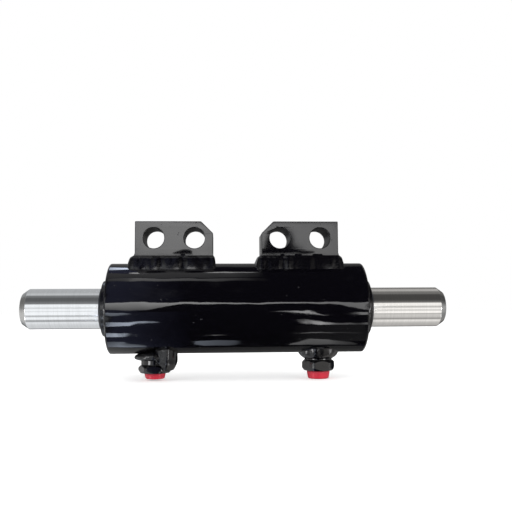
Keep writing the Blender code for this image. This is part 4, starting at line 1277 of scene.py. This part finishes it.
def strip(name, sections, radius, material):
    """A long curved card round the barrel's axis, through its sections."""
    steps = max(2, math.ceil(max(upper - lower for x, lower, upper, *levels in sections) / 5))
    rows = []
    for x, lower, upper, *levels in sections:
        angles = between(lower, upper, steps, True)
        brights = between(levels[0], levels[-1], steps, True)
        rows.append([(around(x, angle, radius), bright) for angle, bright in zip(angles, brights)])
    card(name, rows, material)


def surround(side, low, high, stops, tint):
    """A long curved card with its own brightness at each angle round the axis."""
    rows = []
    for (start, dim), (end, bright) in zip(stops, stops[1:]):
        steps = max(1, math.ceil((end - start) / 5))
        rows += zip(between(start, end, steps, False), between(dim, bright, steps, False))
    rows.append(stops[-1])
    ends = [[(around(x, angle, TENT_R), bright) for x in (low, high)] for angle, bright in rows]
    card(f"surround_{side}", ends, glowing(f"{side} room light", tint))


def build_cards():
    """Light strips round the cylinder and dark cloth behind them, seen only in reflections."""
    light = glowing("strip light")
    cool = glowing("cool strip light", (0.88, 0.98, 1.16))
    blue = glowing("blue haze", (0.80, 0.88, 1.50))
    for name, sections in STRIPS.items():
        radius = HAZE_R if name.startswith("haze") else SIDE_R if name.startswith("side") else TENT_R
        material = blue if name == "haze" else cool if name in COOL_STRIPS else light
        strip(f"strip_{name}", sections, radius, material)
    surround("left", -SURROUND_X, -0.280, LEFT_SURROUND, (0.97, 1.0, 1.03))
    surround("right", 0.340, SURROUND_X, RIGHT_SURROUND, (1.03, 1.0, 0.96))
    cloth = glowing("dark cloth", (0.9, 0.9, 1.15), 0.015)
    strip("cloth", [(x, -180.0, 180.0, 0.0) for x in (-CLOTH_X, CLOTH_X)], CLOTH_R, cloth)
    for name, (y, outline) in DARK_CARDS.items():
        points = [(x, y, AXIS_Z + height) for x, height in outline]
        only_reflected(piece(name, mesh_of(name, points, [], [tuple(range(len(points)))]), cloth))
    for name, x, levels in (("end_left", -CLOTH_X, LEFT_END), ("end_right", CLOTH_X, RIGHT_END)):
        rows = [[((x, y, AXIS_Z + height), bright) for y in (-CLOTH_R, CLOTH_R)] for height, bright in levels]
        card(name, rows, light)


def seen_white(tree):
    """1 for rays from the camera, a mirror or glass, and 0 for all others."""
    rays = tree.nodes.new("ShaderNodeLightPath").outputs
    first = math_of(tree, "MAXIMUM", rays["Is Camera Ray"], rays["Is Glossy Ray"])
    return math_of(tree, "MAXIMUM", first, rays["Is Transmission Ray"])


def build_room(context):
    """A pale floor, a white surround and soft light."""
    studio = context.scene.cylinder_studio
    form = bmesh.new()
    bmesh.ops.create_grid(form, x_segments=1, y_segments=1, size=4.0)
    made, tree = blank_material("pale floor")
    matte = node_of(tree, "ShaderNodeBsdfDiffuse", Color=(0.80, 0.80, 0.80, 1.0))
    light = node_of(tree, "ShaderNodeEmission", Strength=product(tree, seen_white(tree), 0.42))
    both = tree.nodes.new("ShaderNodeAddShader")
    for shader, socket in zip((matte, light), both.inputs):
        tree.links.new(shader.outputs[0], socket)
    node_of(tree, "ShaderNodeOutputMaterial", Surface=both.outputs[0])
    lay_out(tree)
    floor = piece("floor", mesh_from("floor", form), made)
    floor.location = (0.0, 0.0, FLOOR_Z)
    floor.visible_glossy = False
    world = bpy.data.worlds.new("white surround")
    context.scene.world = world
    world.use_nodes = True
    tree = world.node_tree
    sky = tree.nodes["Background"].inputs
    sky["Color"].default_value = (1.0, 1.0, 1.0, 1.0)
    more = studio.backdrop - studio.fill
    tree.links.new(math_of(tree, "MULTIPLY_ADD", seen_white(tree), more, studio.fill), sky["Strength"])
    lay_out(tree)


def build_lamps(context):
    """Large soft lamps for the plastic and the floor's shadow."""
    key = context.scene.cylinder_studio.key
    lamps = {
        "key": ((-0.5, -0.9, 0.9), key),
        "fill": ((0.9, -0.6, 0.5), key * 0.5),
        "back": ((0.2, 0.9, 0.9), key * 0.5),
    }
    for name, (place, power) in lamps.items():
        light = bpy.data.lights.new(name, "AREA")
        light.size = 0.9
        light.energy = power
        made = bpy.data.objects.new(name, light)
        context.scene.collection.objects.link(made)
        made.location = place
        aim = Vector((0.0, 0.0, AXIS_Z)) - Vector(place)
        made.rotation_euler = aim.to_track_quat("-Z", "Y").to_euler()
        made.visible_camera = False
        made.visible_glossy = False


def build_camera(context):
    """The camera, where the photograph was taken from."""
    studio = context.scene.cylinder_studio
    yaw, pitch, roll = studio.turn
    ahead = Vector((math.sin(yaw) * math.cos(pitch), math.cos(yaw) * math.cos(pitch), math.sin(pitch)))
    right = Vector((math.cos(yaw), -math.sin(yaw), 0.0))
    up = right.cross(ahead)
    right_rolled = right * math.cos(roll) + up * math.sin(roll)
    up_rolled = up * math.cos(roll) - right * math.sin(roll)
    camera = bpy.data.cameras.new("camera")
    camera.lens = studio.lens
    camera.sensor_width = 36.0
    camera.clip_start = 0.01
    made = bpy.data.objects.new("camera", camera)
    context.scene.collection.objects.link(made)
    turn = Matrix((right_rolled, up_rolled, -ahead)).transposed().to_4x4()
    made.matrix_world = Matrix.Translation(Vector(studio.camera) + Vector((0.0, 0.0, AXIS_Z))) @ turn
    context.scene.camera = made
    context.scene.view_settings.view_transform = "Standard"


# Operators


class CYLINDER_OT_barrel(bpy.types.Operator):
    """Builds the painted tube"""

    bl_idname = "cylinder.barrel"
    bl_label = "Barrel"

    def execute(self, context):
        build_barrel(context)
        return {"FINISHED"}


class CYLINDER_OT_rod(bpy.types.Operator):
    """Builds the chromed rod"""

    bl_idname = "cylinder.rod"
    bl_label = "Rod"

    def execute(self, context):
        build_rod(context)
        return {"FINISHED"}


class CYLINDER_OT_glands(bpy.types.Operator):
    """Builds the glands and their wipers"""

    bl_idname = "cylinder.glands"
    bl_label = "Glands"

    def execute(self, context):
        build_glands(context)
        return {"FINISHED"}


class CYLINDER_OT_lugs(bpy.types.Operator):
    """Builds the bolted lugs"""

    bl_idname = "cylinder.lugs"
    bl_label = "Lugs"

    def execute(self, context):
        build_lugs(context)
        return {"FINISHED"}


class CYLINDER_OT_lug_welds(bpy.types.Operator):
    """Builds the welds round the lugs"""

    bl_idname = "cylinder.lug_welds"
    bl_label = "Lug welds"

    def execute(self, context):
        build_lug_welds(context)
        return {"FINISHED"}


class CYLINDER_OT_ports(bpy.types.Operator):
    """Builds the port bosses and their welds"""

    bl_idname = "cylinder.ports"
    bl_label = "Ports"

    def execute(self, context):
        build_ports(context)
        return {"FINISHED"}


class CYLINDER_OT_adapters(bpy.types.Operator):
    """Builds the adapters and their red plugs"""

    bl_idname = "cylinder.adapters"
    bl_label = "Adapters"

    def execute(self, context):
        build_adapters(context)
        return {"FINISHED"}


class CYLINDER_OT_inner(bpy.types.Operator):
    """Finishes the seals, rings and piston"""

    bl_idname = "cylinder.inner"
    bl_label = "Inner pieces"

    def execute(self, context):
        finish_inner(context)
        return {"FINISHED"}


class CYLINDER_OT_stage(bpy.types.Operator):
    """Builds the floor, the light and the camera"""

    bl_idname = "cylinder.stage"
    bl_label = "Stage"

    def execute(self, context):
        build_room(context)
        build_cards()
        build_lamps(context)
        build_camera(context)
        return {"FINISHED"}


OPERATORS = (
    CYLINDER_OT_barrel,
    CYLINDER_OT_rod,
    CYLINDER_OT_glands,
    CYLINDER_OT_lugs,
    CYLINDER_OT_lug_welds,
    CYLINDER_OT_ports,
    CYLINDER_OT_adapters,
    CYLINDER_OT_inner,
    CYLINDER_OT_stage,
)


class CYLINDER_PT_panel(bpy.types.Panel):
    """Lists the steps and their settings"""

    bl_label = "Steering cylinder"
    bl_idname = "CYLINDER_PT_panel"
    bl_space_type = "VIEW_3D"
    bl_region_type = "UI"
    bl_category = "Cylinder"

    def draw(self, context):
        layout = self.layout
        for operator in OPERATORS:
            layout.operator(operator.bl_idname)
        for name, kind in SETTINGS.items():
            box = layout.box()
            group = getattr(context.scene, name)
            for label in kind.__annotations__:
                box.prop(group, label)


SETTINGS = {
    "cylinder_barrel": BarrelSettings,
    "cylinder_rod": RodSettings,
    "cylinder_lug": LugSettings,
    "cylinder_weld": WeldSettings,
    "cylinder_port": PortSettings,
    "cylinder_finish": FinishSettings,
    "cylinder_studio": StudioSettings,
}


def register():
    """Registers the settings, operators and panel."""
    for name, kind in SETTINGS.items():
        bpy.utils.register_class(kind)
        setattr(bpy.types.Scene, name, PointerProperty(type=kind))
    for kind in (*OPERATORS, CYLINDER_PT_panel):
        bpy.utils.register_class(kind)


def unregister():
    """Removes the settings, operators and panel."""
    for kind in reversed((*OPERATORS, CYLINDER_PT_panel)):
        bpy.utils.unregister_class(kind)
    for name, kind in SETTINGS.items():
        delattr(bpy.types.Scene, name)
        bpy.utils.unregister_class(kind)


def main():
    """Builds everything in order."""
    register()
    for operator in OPERATORS:
        family, step = operator.bl_idname.split(".")
        getattr(getattr(bpy.ops, family), step)()


if __name__ == "__main__":
    main()
